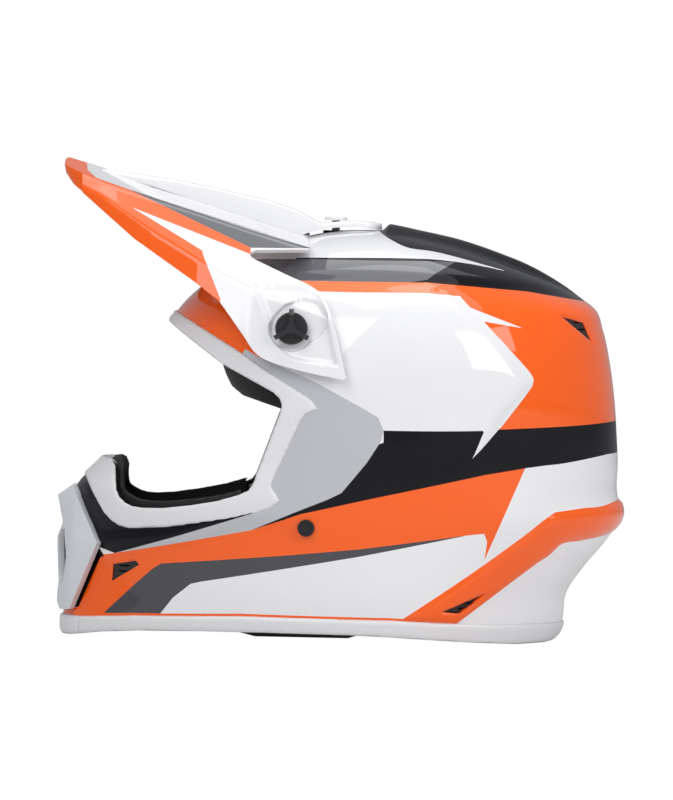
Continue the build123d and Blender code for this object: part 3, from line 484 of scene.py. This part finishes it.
# How far the outer skin stands over its stations at each place
def shellRelief(spots):
    size = reliefSize
    x, y, z = spots.T
    side = spots[:, [0, 2]]
    up = np.zeros(len(spots))

    spineHalf = size["spineHalf"] - size["spineTaper"] * np.clip((x - 27) / 130, 0, 1)
    spine = ramp((x - size["spineFront"]) / 5) * (1 - ramp((x - size["spineEnd"]) / 55))
    up += size["spineHeight"] * spine * ramp(1.5 - np.abs(y) / spineHalf) * (z > 190)

    gap = distanceTo(side, sideCrease)
    behind = side[:, 0] > np.interp(z, [p[1] for p in sideCrease[::-1]], [p[0] for p in sideCrease[::-1]])
    reach = ramp((z - 100) / 20) * (1 - ramp((z - 214) / 10))
    panel = size["panelHeight"] * ramp(gap / size["panelRise"]) * (1 - ramp((gap - 12) / size["panelFade"]))
    up += np.where(behind, 0, panel) * reach

    wing = size["wingHeight"] * ramp(distanceTo(side, rearWing, True) / size["wingRise"])
    up += np.where(inside(side, rearWing), wing, 0) * (z > 14)

    shoulder = [(-30, 224.5), (52, 224.5), (114, 219.5), (153, 213)]
    gap = distanceTo(side, shoulder)
    above = z > np.interp(x, [p[0] for p in shoulder], [p[1] for p in shoulder])
    fade = 1 - ramp((gap - size["shoulderRise"]) / size["shoulderFade"])
    up += np.where(above, size["shoulderHeight"] * ramp(gap / size["shoulderRise"]) * fade, 0) * (x > -30)

    jaw = [(-151, 59), (-105, 64), (-55, 80), (-34, 79.5)]
    gap = distanceTo(side, jaw)
    up += size["jawHeight"] * (1 - ramp(gap / size["jawReach"])) * (z < 100) * (x < -30)
    return up


def makeShell():
    size = {"step": 2.9, "columns": 300, "wall": 3.4, "edgeReach": 0.6, "edgeDrop": 0.4}
    names = ["white", "orange", "black", "charcoal", "grey", "blackReflection", "orangeReflection"]
    bm = skinGrid(shellStations, size["step"], size["columns"])
    for line in (openingOutline, chinVent, rearVent, neckVent, *[outline for outline, _ in shellRegions]):
        imprint(bm, line)
    for line in (neckLow, neckHigh):
        imprint(bm, line, closed=False)
    floorLine = neckLow + [(260, -50), (-260, -50)]
    for hole in (openingOutline, floorLine, chinVent, rearVent, neckVent):
        keepFaces(bm, lambda p, hole=hole: ~inside(p, hole))
    imprint(bm, mouthOutline, axes=(1, 2))
    front = [f for f in bm.faces if f.calc_center_median().x < -100]
    across = inside(sideOf([f.calc_center_median() for f in front], (1, 2)), mouthOutline)
    bmesh.ops.delete(bm, geom=[f for f, gone in zip(front, across) if gone], context="FACES")
    paint(bm, shellRegions, names)
    lift(bm, shellRelief)

    # the goggle opening's edge sinks a little under its rubber
    def edgeDrop(spots):
        near = distanceTo(spots[:, [0, 2]], openingOutline, True) < size["edgeReach"]
        return np.where(near, -size["edgeDrop"], 0.0)

    lift(bm, edgeDrop)
    coats = [paints[name] for name in names]
    return piece("shell", bm, coats, stands=["outer_shell"], wall=size["wall"])


makeShell()
print("stage shell")


def makeEyeportTrim():
    size = {
        "step": 1.5, "columns": 600, "proud": 1.5, "wall": 6.4, "round": 2.2, "grooveIn": 3.4, "groove": 0.5,
    }
    bm = skinGrid(shellStations, size["step"], size["columns"], lambda x, y, z: x < 5 and 60 < z < 215)
    imprint(bm, trimOutline)
    imprint(bm, openingOutline)
    keepFaces(bm, lambda p: inside(p, trimOutline) & ~inside(p, openingOutline))

    def height(spots):
        side = spots[:, [0, 2]]
        outer = np.clip(distanceTo(side, trimOutline, True) / size["round"], 0, 1)
        inner = np.clip(distanceTo(side, openingOutline, True) / size["round"], 0, 1)
        bead = np.sqrt(1 - (1 - outer) ** 2) * np.sqrt(1 - 0.7 * (1 - inner) ** 2)
        offGroove = np.abs(distanceTo(side, trimOutline, True) - size["grooveIn"])
        return size["proud"] * bead - size["groove"] * (1 - ramp(offGroove / 0.9))

    lift(bm, height)
    piece("eyeportTrim", bm, [trimWhite], stands=["eyeport_trim"], wall=size["wall"])


def makeNeckTrim():
    size = {"step": 1.5, "columns": 560, "proud": 1.6, "wall": 6.4, "round": 2.0, "capEnd": -162}
    band = neckLow + neckHigh[::-1]
    parts = [("neckTrim", "neck_trim", "trim_rubber", False), ("chinCap", "chin_cap", "trim_plastic", True)]
    for name, node, slot, forward in parts:
        bm = skinGrid(shellStations, size["step"], size["columns"], lambda x, y, z: z < 22)
        imprint(bm, neckLow, closed=False)
        imprint(bm, neckHigh, closed=False)
        join = [(size["capEnd"], -20), (size["capEnd"], 40)]
        imprint(bm, join, closed=False)
        keepFaces(bm, lambda p: inside(p, band) & ((p[:, 0] < size["capEnd"]) == forward))

        def height(spots):
            side = spots[:, [0, 2]]
            top = np.clip(distanceTo(side, neckHigh) / size["round"], 0, 1)
            low = np.clip(distanceTo(side, neckLow) / size["round"], 0, 1)
            seam = 0.4 * (1 - ramp(np.abs(side[:, 0] - size["capEnd"]) / 1.5))
            return size["proud"] * np.sqrt(1 - (1 - top) ** 2) * np.sqrt(1 - 0.6 * (1 - low) ** 2) - seam

        lift(bm, height)
        piece(name, bm, [trimWhite], stands=[node], wall=size["wall"])


makeEyeportTrim()
makeNeckTrim()
print("stage trims")


def makeMouthpiece():
    size = {"wall": 4.0, "edge": 0.7, "rowsBetween": 16, "facetSteps": 6}
    outline = [
        (-168, 93.5), (-177.5, 87), (-200, 87), (-200, 15.5), (-175.5, 15.5), (-169, 16.5), (-151.5, 59),
    ]
    nose = {"z": [15.5, 21, 33, 57, 61, 70, 87], "x": [-175.5, -177.5, -176.5, -177.5, -177.5, -174, -177.5]}
    facets = {  # level: half section from nose to flank
        12: [(-177.5, 0), (-177.5, 12), (-171, 30), (-160, 44), (-146, 52)],
        59: [(-177.5, 0), (-177.5, 12), (-168, 37), (-150, 54), (-140, 60)],
        97: [(-177.5, 0), (-177.5, 10), (-165, 28), (-156, 40), (-146, 48)],
    }
    # y and z of the mouth passage on each side of the middle bar
    passage = [(13.5, 36), (13.5, 62), (17, 66), (23, 66), (28.5, 50), (23, 33), (17, 32)]
    levels = sorted(facets)
    rows = []
    for low, high in zip(levels, levels[1:]):
        for i in range(size["rowsBetween"] + (high == levels[-1])):
            share = i / size["rowsBetween"]
            half = between(facets[low], facets[high], share)
            line = []
            for a, b in zip(half, half[1:]):
                line += [a + (b - a) * k / size["facetSteps"] for k in range(size["facetSteps"])]
            line.append(half[-1])
            z = low + (high - low) * share
            rows.append([(x, -y, z) for x, y in line[:0:-1]] + [(x, y, z) for x, y in line])
    bm = sheetOf(rows)
    imprint(bm, outline)
    keepFaces(bm, lambda p: inside(p, outline))
    for v in bm.verts:
        v.co.x = max(v.co.x, float(np.interp(v.co.z, nose["z"], nose["x"])))
    faceTowards(bm, (-1, 0, 0))
    for side in (-1, 1):
        hole = [(side * y, z) for y, z in passage]
        imprint(bm, hole, axes=(1, 2))
        keepFaces(bm, lambda p, hole=hole: ~inside(p, hole), axes=(1, 2))
    piece(
        "mouthpiece", bm, [muzzleGrey], stands=["mouthpiece"], wall=size["wall"],
        bevel=size["edge"],
    )


makeMouthpiece()
print("stage mouthpiece")


def makeBreathGuard():
    size = {"step": 2.0, "columns": 460, "depth": -5.6, "wall": 3.0, "rise": 3.5, "rearEnd": -62}
    raised = [(x, z + size["rise"]) for x, z in openingOutline]
    band = [
        (-260, 96), (-150, 96), (-142, 78), (-126, 73.5), (-66, 80), (-50, 86), (-46, 100), (-62, 108),
        (-62, 120), (-260, 122),
    ]
    bm = skinGrid(shellStations, size["step"], size["columns"], lambda x, y, z: x < -40 and 60 < z < 125)
    imprint(bm, band)
    imprint(bm, raised)
    keepFaces(bm, lambda p: inside(p, band) & ~inside(p, raised) & (p[:, 0] < size["rearEnd"]))
    lift(bm, lambda spots: np.full(len(spots), size["depth"]))
    piece("breathGuard", bm, [blackRubber], stands=["breath_guard"], wall=size["wall"])


def makeComfortLiner():
    size = {"step": 3.2, "columns": 220, "wall": 7.2, "edge": 1.4, "round": 6, "sink": 0.4, "roundDepth": 2.2}
    outline = [
        (-260, 190), (-84, 190), (-79, 176), (-75, 165), (-71, 157), (-64, 152), (-38, 144.5), (-20, 132),
        (70, 130), (84, 62), (260, 62), (260, 400), (-260, 400),
    ]
    bm = skinGrid(cavityStations, size["step"], size["columns"], lambda x, y, z: z > 50)
    imprint(bm, outline)
    keepFaces(bm, lambda p: inside(p, outline))

    def puff(spots):
        side = spots[:, [0, 2]]
        rim = np.clip(distanceTo(side, outline, True) / size["round"], 0, 1)
        return -size["sink"] - size["roundDepth"] * (1 - np.sqrt(1 - (1 - rim) ** 2))

    lift(bm, puff)
    made = piece(
        "comfortLiner", bm, [padCloth], stands=["comfort_liner"], wall=size["wall"],
        bevel=size["edge"],
    )


# Where the back of a cheek pad lies, out from the middle plane
def cheekBack(x):
    return float(np.interp(x, [-100, -60, 0, 60], [66, 76, 84, 88])) - 0.5


# Stuffed pads: both faces of an outline's sheet bulge, and their rim is round
def makeCheekPads():
    size = {"thickness": 23, "edge": 9, "step": 3.0, "wrinkle": 0.5, "wrinkleScale": 0.05, "merge": 0.05}
    outline = [
        *soft([(-77, 10), (-85, 20), (-86, 40), (-85, 56), (-72, 74), (-46, 86), (-32, 108), (-22, 124)]),
        *soft([(-22, 125), (0, 127), (14, 126), (30, 117), (37, 100), (40, 50), (36, 20), (26, 9)]),
        (6, 2.6), (-52, 2.6), (-66, 6),
    ]
    step, lowX, lowZ = size["step"], min(p[0] for p in outline), min(p[1] for p in outline)
    countX = int((max(p[0] for p in outline) - lowX) / step) + 2
    countZ = int((max(p[1] for p in outline) - lowZ) / step) + 2
    rows = [[(lowX + i * step, 0, lowZ + j * step) for i in range(countX)] for j in range(countZ)]
    for side, suffix, node in ((-1, "Left", "cheek_pad_left"), (1, "Right", "cheek_pad_right")):
        bm = sheetOf(rows)
        imprint(bm, outline)
        keepFaces(bm, lambda p: inside(p, outline))
        back = bmesh.ops.duplicate(bm, geom=bm.faces[:] + bm.edges[:] + bm.verts[:])["geom"]
        backVerts = {g for g in back if isinstance(g, bmesh.types.BMVert)}
        bmesh.ops.reverse_faces(bm, faces=[g for g in back if isinstance(g, bmesh.types.BMFace)])
        spots = sideOf([v.co for v in bm.verts])
        rim = np.clip(distanceTo(spots, outline, True) / size["edge"], 0, 1)
        full = np.sqrt(1 - (1 - rim) ** 2)
        for v, puff, (x, z) in zip(list(bm.verts), full, spots):
            half = size["thickness"] / 2 * puff
            middle = cheekBack(x) - size["thickness"] / 2
            spot = (x * size["wrinkleScale"], z * size["wrinkleScale"], side * 3.0)
            wrinkle = size["wrinkle"] * noise.noise(spot) * puff
            v.co.y = side * (middle + (half if v in backVerts else -half) + wrinkle)
        bmesh.ops.remove_doubles(bm, verts=bm.verts, dist=size["merge"])
        bmesh.ops.recalc_face_normals(bm, faces=bm.faces)
        pad = piece("cheekPad" + suffix, bm, [padLining], stands=[node])


# Round pad that follows the shell's rear, thinner towards both ends
def makeNeckRoll():
    size = {
        "turn": 0.36, "steps": 80, "ring": 20, "deep": 10.5, "tall": 16.5, "level": 17.5, "inset": 18,
        "rear": 141.5, "width": 109, "blunt": 1.95, "square": 0.75, "thinnest": 0.15, "frontEnd": 52,
    }

    def squared(value, power):
        return math.copysign(abs(value) ** power, value)

    rings = []
    for i in range(size["steps"] + 1):
        angle = (i / size["steps"] - 0.5) * 2 * math.pi * size["turn"]
        fade = math.sqrt(max(1 - abs(2 * i / size["steps"] - 1) ** 8, 0.0))
        scale = size["thinnest"] + (1 - size["thinnest"]) * fade
        c, s = math.cos(angle), math.sin(angle)
        reach = (size["rear"] - widestX - size["inset"]) if c >= 0 else 1
        x = widestX + abs(c) ** (2 / size["blunt"]) * reach
        y = squared(s, 2 / size["blunt"]) * (size["width"] - size["inset"])
        out = Vector((c / reach, s / size["width"], 0)).normalized()
        ring = []
        for k in range(size["ring"]):
            turn = 2 * math.pi * k / size["ring"]
            flat, high = squared(math.cos(turn), size["square"]), squared(math.sin(turn), size["square"])
            spot = Vector((x, y, size["level"] + size["tall"] * high * scale))
            ring.append(spot + out * (size["deep"] * flat * scale))
        if ring[0].x > size["frontEnd"]:
            rings.append(ring)
    bm = sheetOf(rings, closed=True)
    bmesh.ops.holes_fill(bm, edges=[edge for edge in bm.edges if edge.is_boundary], sides=0)
    bmesh.ops.recalc_face_normals(bm, faces=bm.faces)
    made = piece("neckRoll", bm, [padCloth], stands=["neck_roll"])


makeBreathGuard()
makeComfortLiner()
makeCheekPads()
makeNeckRoll()
print("stage inside")


# Peak
peakStations = [  # x: middle, ridge, flank crease and lower edge as (y, z)
    (-182, (0, 302), (30, 296), (37, 291), (39, 268)),
    (-150, (0, 292.5), (46, 284), (58, 275), (63, 245)),
    (-120, (0, 284), (58, 274), (77, 255), (86, 222)),
    (-90, (0, 274.5), (68, 265), (94, 237), (104, 196)),
    (-60, (0, 265), (76, 255.5), (108, 221), (119, 165)),
    (-30, (0, 255), (80, 247), (118, 212), (126, 155)),
    (6, (0, 250), (84, 238), (125, 200), (132, 150)),
]
peakOutline = [
    (-167, 300), (-172, 300), (-175.3, 298.5), (-175.5, 292.5), (-170, 283), (-130, 249), (-91, 222.5),
    (-76, 211), *soft([(-60, 189), (-54, 180.5), (-46, 175.5), (-35, 172), (-16, 167.5), (1, 164.6)]),
    (2.2, 166), (-3, 189.5),
    *soft([(-3, 189.5), (-6.5, 202), (-10, 211), (-15, 218), (-23, 223), (-34.5, 228), (-52, 236)]),
    *soft([(-52, 236), (-57, 238.8), (-57.5, 241.5), (-54, 243.3)]), (-21, 244), (-22, 262), (-60, 290),
]
pocketMiddle = [(-31.5, 195.5), (-29, 198), (-23.3, 201.8)]
peakRegions = [
    # lip and flank in orange, and a grey stripe of painted softbox reflection along the ridge
    ([(-200, 312), (-164.5, 312), (-163.5, 301), (-161, 291.5), (-155, 286.5), (-134, 279.5),
      (-57.5, 244.5), (-57.5, 240.5), (-132, 268.5), *soft([(-132, 268.5), (-91, 244.5),
      (-87.5, 241.5), (-85.5, 236.5), (-75.5, 212.5)]), (-78, 205), (-200, 262)], "orange"),
    ([(-134, 279.5), (-52, 254.5), (-19.5, 244.5), (-57.5, 244.5)], "blackReflection"),
]
peakPocket = [
    (-57, 223.5), *soft([(-26, 221.5), (-17, 218.5), (-11.5, 212)]), (-2, 172.5),
    *soft([(-14, 173.5), (-32, 176.5), (-40, 183)]),
]
peakPlan = [  # x and y, seen from above
    (-178, 0), *soft([(-177.5, 17), (-175.5, 24), (-171.5, 31), (-164, 37.5)]), (-162, 70), (-100, 140),
    (60, 140), (60, -140), (-100, -140), (-162, -70),
    *soft([(-164, -37.5), (-171.5, -31), (-175.5, -24), (-177.5, -17)]),
]
peakPaints = ["white", "orange", "blackReflection"]


# Line through a half section with its inner corners rounded, always the same number of places
def roundedLine(points, radius, counts):
    points = [np.array(p, float) for p in points]
    starts, made = [points[0]], []
    for a, b, c in zip(points, points[1:], points[2:]):
        before, after = (a - b) / np.linalg.norm(a - b), (c - b) / np.linalg.norm(c - b)
        p, q = b + before * radius, b + after * radius
        starts += [p, [p * (1 - t) ** 2 + 2 * b * t * (1 - t) + q * t * t for t in (0.25, 0.5, 0.75)], q]
    starts.append(points[-1])
    flats = [starts[i : i + 2] for i in (0, 3, 6)]
    corners = [starts[2], starts[5]]
    for i, (p, q) in enumerate(flats):
        made += [p + (q - p) * k / counts[i] for k in range(counts[i] + 1)]
        if i < 2:
            made += corners[i]
    return made


# Closed outline at a distance round a short line of the side view
def roundOutline(line, radius, steps=40):
    centre = np.mean(np.array(line, float), axis=0)
    made = []
    for i in range(steps):
        angle = 2 * math.pi * i / steps
        way = np.array([math.cos(angle), math.sin(angle)])
        near, far = 0.0, 3.0 * radius
        for _ in range(24):
            half = (near + far) / 2
            inner = distanceTo(np.array([centre + way * half]), line)[0] < radius
            near, far = (half, far) if inner else (near, half)
        made.append(tuple(float(v) for v in centre + way * near))
    return made


# Lip that runs down round the peak's tip
def turnTipDown(bm):
    size = {"behind": -163.8, "above": 288, "lean": 0.5}
    low = {"x": [-178, -175.5, -170, -160], "z": [292, 290.5, 282.5, 274.5]}
    drops = [(0.25, 0.3), (0.6, 0.3), (1.0, 1.0)]  # share of the lean, and of the fall that is left
    rim = []
    for edge in bm.edges:
        a, b = (v.co for v in edge.verts)
        crosses = abs(a.z - b.z) < 0.7 * abs(a.y - b.y)
        if edge.is_boundary and crosses and max(a.x, b.x) < size["behind"] and min(a.z, b.z) > size["above"]:
            rim.append(edge)
    for leanShare, fallShare in drops:
        made = bmesh.ops.extrude_edge_only(bm, edges=rim)["geom"]
        rim = [g for g in made if isinstance(g, bmesh.types.BMEdge) and g.is_boundary]
        moved = {v for edge in rim for v in edge.verts}
        for v in moved:
            end = float(np.interp(v.co.x, low["x"], low["z"]))
            v.co.z += (end - v.co.z) * fallShare
            v.co.x += size["lean"] * leanShare
        for f in bm.faces:
            if any(v in moved for v in f.verts):
                f.material_index = peakPaints.index("orange")


def makePeak():
    size = {
        "between": 20, "corner": 3.2, "wall": 2.9, "edge": 0.6, "pocketDepth": 4.0, "pocketRadius": 13.2,
        "pocketEdge": 1.2, "dish": 2.0, "dishEdge": 2.5, "armFrom": 95,
    }
    counts = (20, 16, 34)  # places along the top, the flank's upper half and its lower half
    rows = []
    for low, high in zip(peakStations, peakStations[1:]):
        for k in range(size["between"] + (high is peakStations[-1])):
            share = k / size["between"]
            x = low[0] + (high[0] - low[0]) * share
            line = roundedLine(between(low[1:], high[1:], share), size["corner"], counts)
            rows.append([(x, -y, z) for y, z in line[:0:-1]] + [(x, y, z) for y, z in line])
    bm = sheetOf(rows)
    faceTowards(bm, (0, 0, 1))
    dial = roundOutline(pocketMiddle, size["pocketRadius"])
    rim = roundOutline(pocketMiddle, size["pocketRadius"] + size["pocketEdge"])
    for line in (peakOutline, peakPocket, dial, rim, *[outline for outline, _ in peakRegions]):
        imprint(bm, line)
    imprint(bm, peakPlan, axes=(0, 1))
    keepFaces(bm, lambda p: inside(p, peakPlan), axes=(0, 1))
    keepFaces(bm, lambda p: inside(p, peakOutline))
    paint(bm, peakRegions, peakPaints)
    turnTipDown(bm)

    def relief(spots):
        side = spots[:, [0, 2]]
        beyond = (distanceTo(side, pocketMiddle) - size["pocketRadius"]) / size["pocketEdge"]
        sunk = -size["pocketDepth"] * (1 - ramp(beyond))
        slope = ramp(distanceTo(side, peakPocket, True) / size["dishEdge"])
        dish = np.where(inside(side, peakPocket), -size["dish"] * slope, 0)
        return np.where(np.abs(spots[:, 1]) > size["armFrom"], np.minimum(sunk, dish), 0)

    lift(bm, relief)
    coats = [paints[name] for name in peakPaints]
    piece(
        "peak", bm, coats, body="visor", stands=["visor"], wall=size["wall"],
        bevel=size["edge"],
    )


# Hood along the peak's middle that comes down on the crown, with the slot for its screw
def makeBridge():
    size = {
        "half": 17, "pivot": (6, 151), "inner": 106.9, "outer": 110.6, "end": 24, "round": 2.6, "wall": 2.6,
        "edge": 0.5, "sheetDrop": 2.5, "saddleFrom": -32, "saddleBlend": 10, "thinnest": 0.4,
    }
    slot = [(-7.5, -3.3), (14, -3.3), (16, 0), (14, 3.3), (-7.5, 3.3), (-9.5, 0)]  # x and y
    px, pz = size["pivot"]

    def arc(x, radius):
        return pz + math.sqrt(radius**2 - (x - px) ** 2)

    crest = [
        (-152, 292.6), (-120, 288), (-90, 283), (-60, 276.6), (-44, 272.8), (-30, 268), (-22, 264),
        (-15, 260.3),
    ]
    crest = soft(crest, 6) + [(x, arc(x, size["outer"])) for x in np.linspace(-13.5, size["end"], 26)]
    stationX, stationZ = [p[0] for p in peakStations], [p[1][1] for p in peakStations]
    rows = []
    for x, top in crest:
        sheet = float(np.interp(x, stationX, stationZ)) - size["sheetDrop"]
        low = sheet
        if x >= size["saddleFrom"]:
            share = min((x - size["saddleFrom"]) / size["saddleBlend"], 1)
            low = sheet * (1 - share) + arc(x, size["inner"]) * share
        low = min(low, top - size["thinnest"])
        roundEnd = math.sqrt(max(1 - (max(x - 10, 0) / 14.3) ** 2, 0.02))
        half = size["half"] * roundEnd * min(1, 0.45 + (x + 152) / 60)
        curve = min(size["round"], (top - low) * 0.8, half * 0.5)
        turns = np.linspace(0, math.pi / 2, 5)
        corner = [(half - curve * (1 - math.cos(t)), top - curve * (1 - math.sin(t))) for t in turns]
        flat = [(half - curve - (half - curve) * k / 7, top) for k in range(1, 8)]
        line = [(half, low), *corner, *flat]
        rows.append([(x, -y, z) for y, z in line[:-1]] + [(x, 0, top)] + [(x, y, z) for y, z in line[-2::-1]])
    bm = sheetOf(rows)
    imprint(bm, slot, axes=(0, 1))
    keepFaces(bm, lambda p: ~inside(p, slot), axes=(0, 1))
    faceTowards(bm, (0, 0, 1))
    piece(
        "peakBridge", bm, [paints["white"]], body="visor", wall=size["wall"],
        bevel=size["edge"],
    )


makePeak()
makeBridge()
print("stage peak")


# Pieces that keep the frame's own shape
kept = {
    "mouth_grille": blackPlastic, "mouthpiece_screws": darkSteel, "chin_vent_louvre_left": blackPlastic,
    "chin_vent_louvre_right": blackPlastic, "rear_vent_mesh_left": blackPlastic,
    "rear_vent_mesh_right": blackPlastic, "neck_vent_mesh_left": blackPlastic,
    "neck_vent_mesh_right": blackPlastic, "brow_vent_mesh": blackPlastic, "impact_liner": foamBlack,
    "chin_liner": foamBlack, "cheek_core_left": foamBlack, "cheek_core_right": foamBlack,
    "cheek_snaps": blackPlastic, "liner_snaps": blackPlastic, "visor_insert_left": blackPlastic,
    "visor_insert_right": blackPlastic, "visor_insert_top": blackPlastic, "visor_screw_left": knobPlastic,
    "visor_screw_right": knobPlastic, "visor_screw_top": trimWhite, "strap_anchor_left": darkSteel,
    "strap_anchor_right": darkSteel, "chin_strap_left": webCloth, "chin_strap_right": webCloth,
    "d_ring_lower": steel, "d_ring_upper": steel, "keeper_snap": blackPlastic,
}
hardware = {
    "names": ("visor_screw", "d_ring", "strap_anchor", "keeper"), "edge": 0.4, "segments": 2, "angle": 40,
}
for name, material in kept.items():
    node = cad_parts[name]
    node.data.materials.clear()
    node.data.materials.append(material)
    weld = node.modifiers.new("join", "WELD")
    weld.merge_threshold = 0.00001
    if name.startswith(hardware["names"]):
        edge = node.modifiers.new("edge", "BEVEL")
        edge.width = hardware["edge"] * mm
        edge.segments = hardware["segments"]
        edge.limit_method = "ANGLE"
        edge.angle_limit = math.radians(hardware["angle"])
print("stage kept nodes")


def makeStudio():
    setup = {
        "floorHalf": 12, "paper": 0.7, "paperRough": 0.9, "paperGlow": 1.06, "glowShare": 0.94,
        "sky": (0.93, 0.95, 1), "skyStrength": 0.36, "aim": Vector((0, 0, 0.15)),
    }
    lamps = {  # place, size and power
        "key": ((-0.9, -1.7, 1.5), 1.3, 19),
        "rearSoft": ((1.3, -1.2, 0.9), 0.9, 11),
        "top": ((0.1, -0.2, 2.0), 1.5, 11),
        "back": ((0.2, 0.9, 2.4), 1.3, 10),
    }
    scene = bpy.context.scene
    bm = bmesh.new()
    bmesh.ops.create_grid(bm, x_segments=2, y_segments=2, size=setup["floorHalf"])
    mesh = bpy.data.meshes.new("floor")
    bm.to_mesh(mesh)
    bm.free()
    floor = bpy.data.objects.new("floor", mesh)
    scene.collection.objects.link(floor)

    # paper that shows white to the camera and still takes the helmet's shadow
    paper = bpy.data.materials.new("paper")
    paper.use_nodes = True
    nodes, links = paper.node_tree.nodes, paper.node_tree.links
    shader = nodes["Principled BSDF"]
    shader.inputs["Base Color"].default_value = (*[setup["paper"]] * 3, 1)
    shader.inputs["Roughness"].default_value = setup["paperRough"]
    glow = nodes.new("ShaderNodeEmission")
    glow.inputs["Strength"].default_value = setup["paperGlow"]
    path, mix = nodes.new("ShaderNodeLightPath"), nodes.new("ShaderNodeMixShader")
    share = nodes.new("ShaderNodeMath")
    share.operation = "MULTIPLY"
    share.inputs[1].default_value = setup["glowShare"]
    links.new(path.outputs["Is Camera Ray"], share.inputs[0])
    links.new(share.outputs[0], mix.inputs[0])
    links.new(shader.outputs[0], mix.inputs[1])
    links.new(glow.outputs[0], mix.inputs[2])
    links.new(mix.outputs[0], nodes["Material Output"].inputs["Surface"])
    mesh.materials.append(paper)

    world = bpy.data.worlds.new("studio")
    scene.world = world
    world.use_nodes = True
    nodes, links = world.node_tree.nodes, world.node_tree.links
    ambient = nodes["Background"]
    ambient.inputs["Color"].default_value = (*setup["sky"], 1)
    ambient.inputs["Strength"].default_value = setup["skyStrength"]
    plain = nodes.new("ShaderNodeBackground")
    plain.inputs["Color"].default_value = (1, 1, 1, 1)
    path, mix = nodes.new("ShaderNodeLightPath"), nodes.new("ShaderNodeMixShader")
    links.new(path.outputs["Is Camera Ray"], mix.inputs[0])
    links.new(ambient.outputs[0], mix.inputs[1])
    links.new(plain.outputs[0], mix.inputs[2])
    links.new(mix.outputs[0], nodes["World Output"].inputs["Surface"])

    for name, (place, size, power) in lamps.items():
        light = bpy.data.lights.new(name, "AREA")
        light.shape = "SQUARE"
        light.size = size
        light.energy = power
        lamp = bpy.data.objects.new(name, light)
        lamp.location = place
        lamp.rotation_euler = (setup["aim"] - Vector(place)).to_track_quat("-Z", "Y").to_euler()
        scene.collection.objects.link(lamp)


# Long lens from the left side, a little above the helmet's middle and leaning slightly
def makeCamera():
    setup = {"distance": 5.0, "height": 0.504, "raise": 1.5, "lean": 0.77, "sensor": 36}
    aim = Vector((-0.0032, 0, 0.1487))
    camera = bpy.data.cameras.new("camera")
    camera.sensor_width = setup["sensor"]
    camera.lens = setup["sensor"] * setup["distance"] / setup["height"]
    made = bpy.data.objects.new("camera", camera)
    raiseBy = math.radians(setup["raise"])
    away = Vector((0, -math.cos(raiseBy), math.sin(raiseBy)))
    made.location = aim + away * setup["distance"]
    made.rotation_euler = (-away).to_track_quat("-Z", "Y").to_euler()
    made.rotation_euler.rotate_axis("Z", math.radians(setup["lean"]))
    bpy.context.scene.collection.objects.link(made)
    bpy.context.scene.camera = made


makeStudio()
makeCamera()
bpy.context.scene.view_settings.view_transform = "Standard"
print("stage studio")
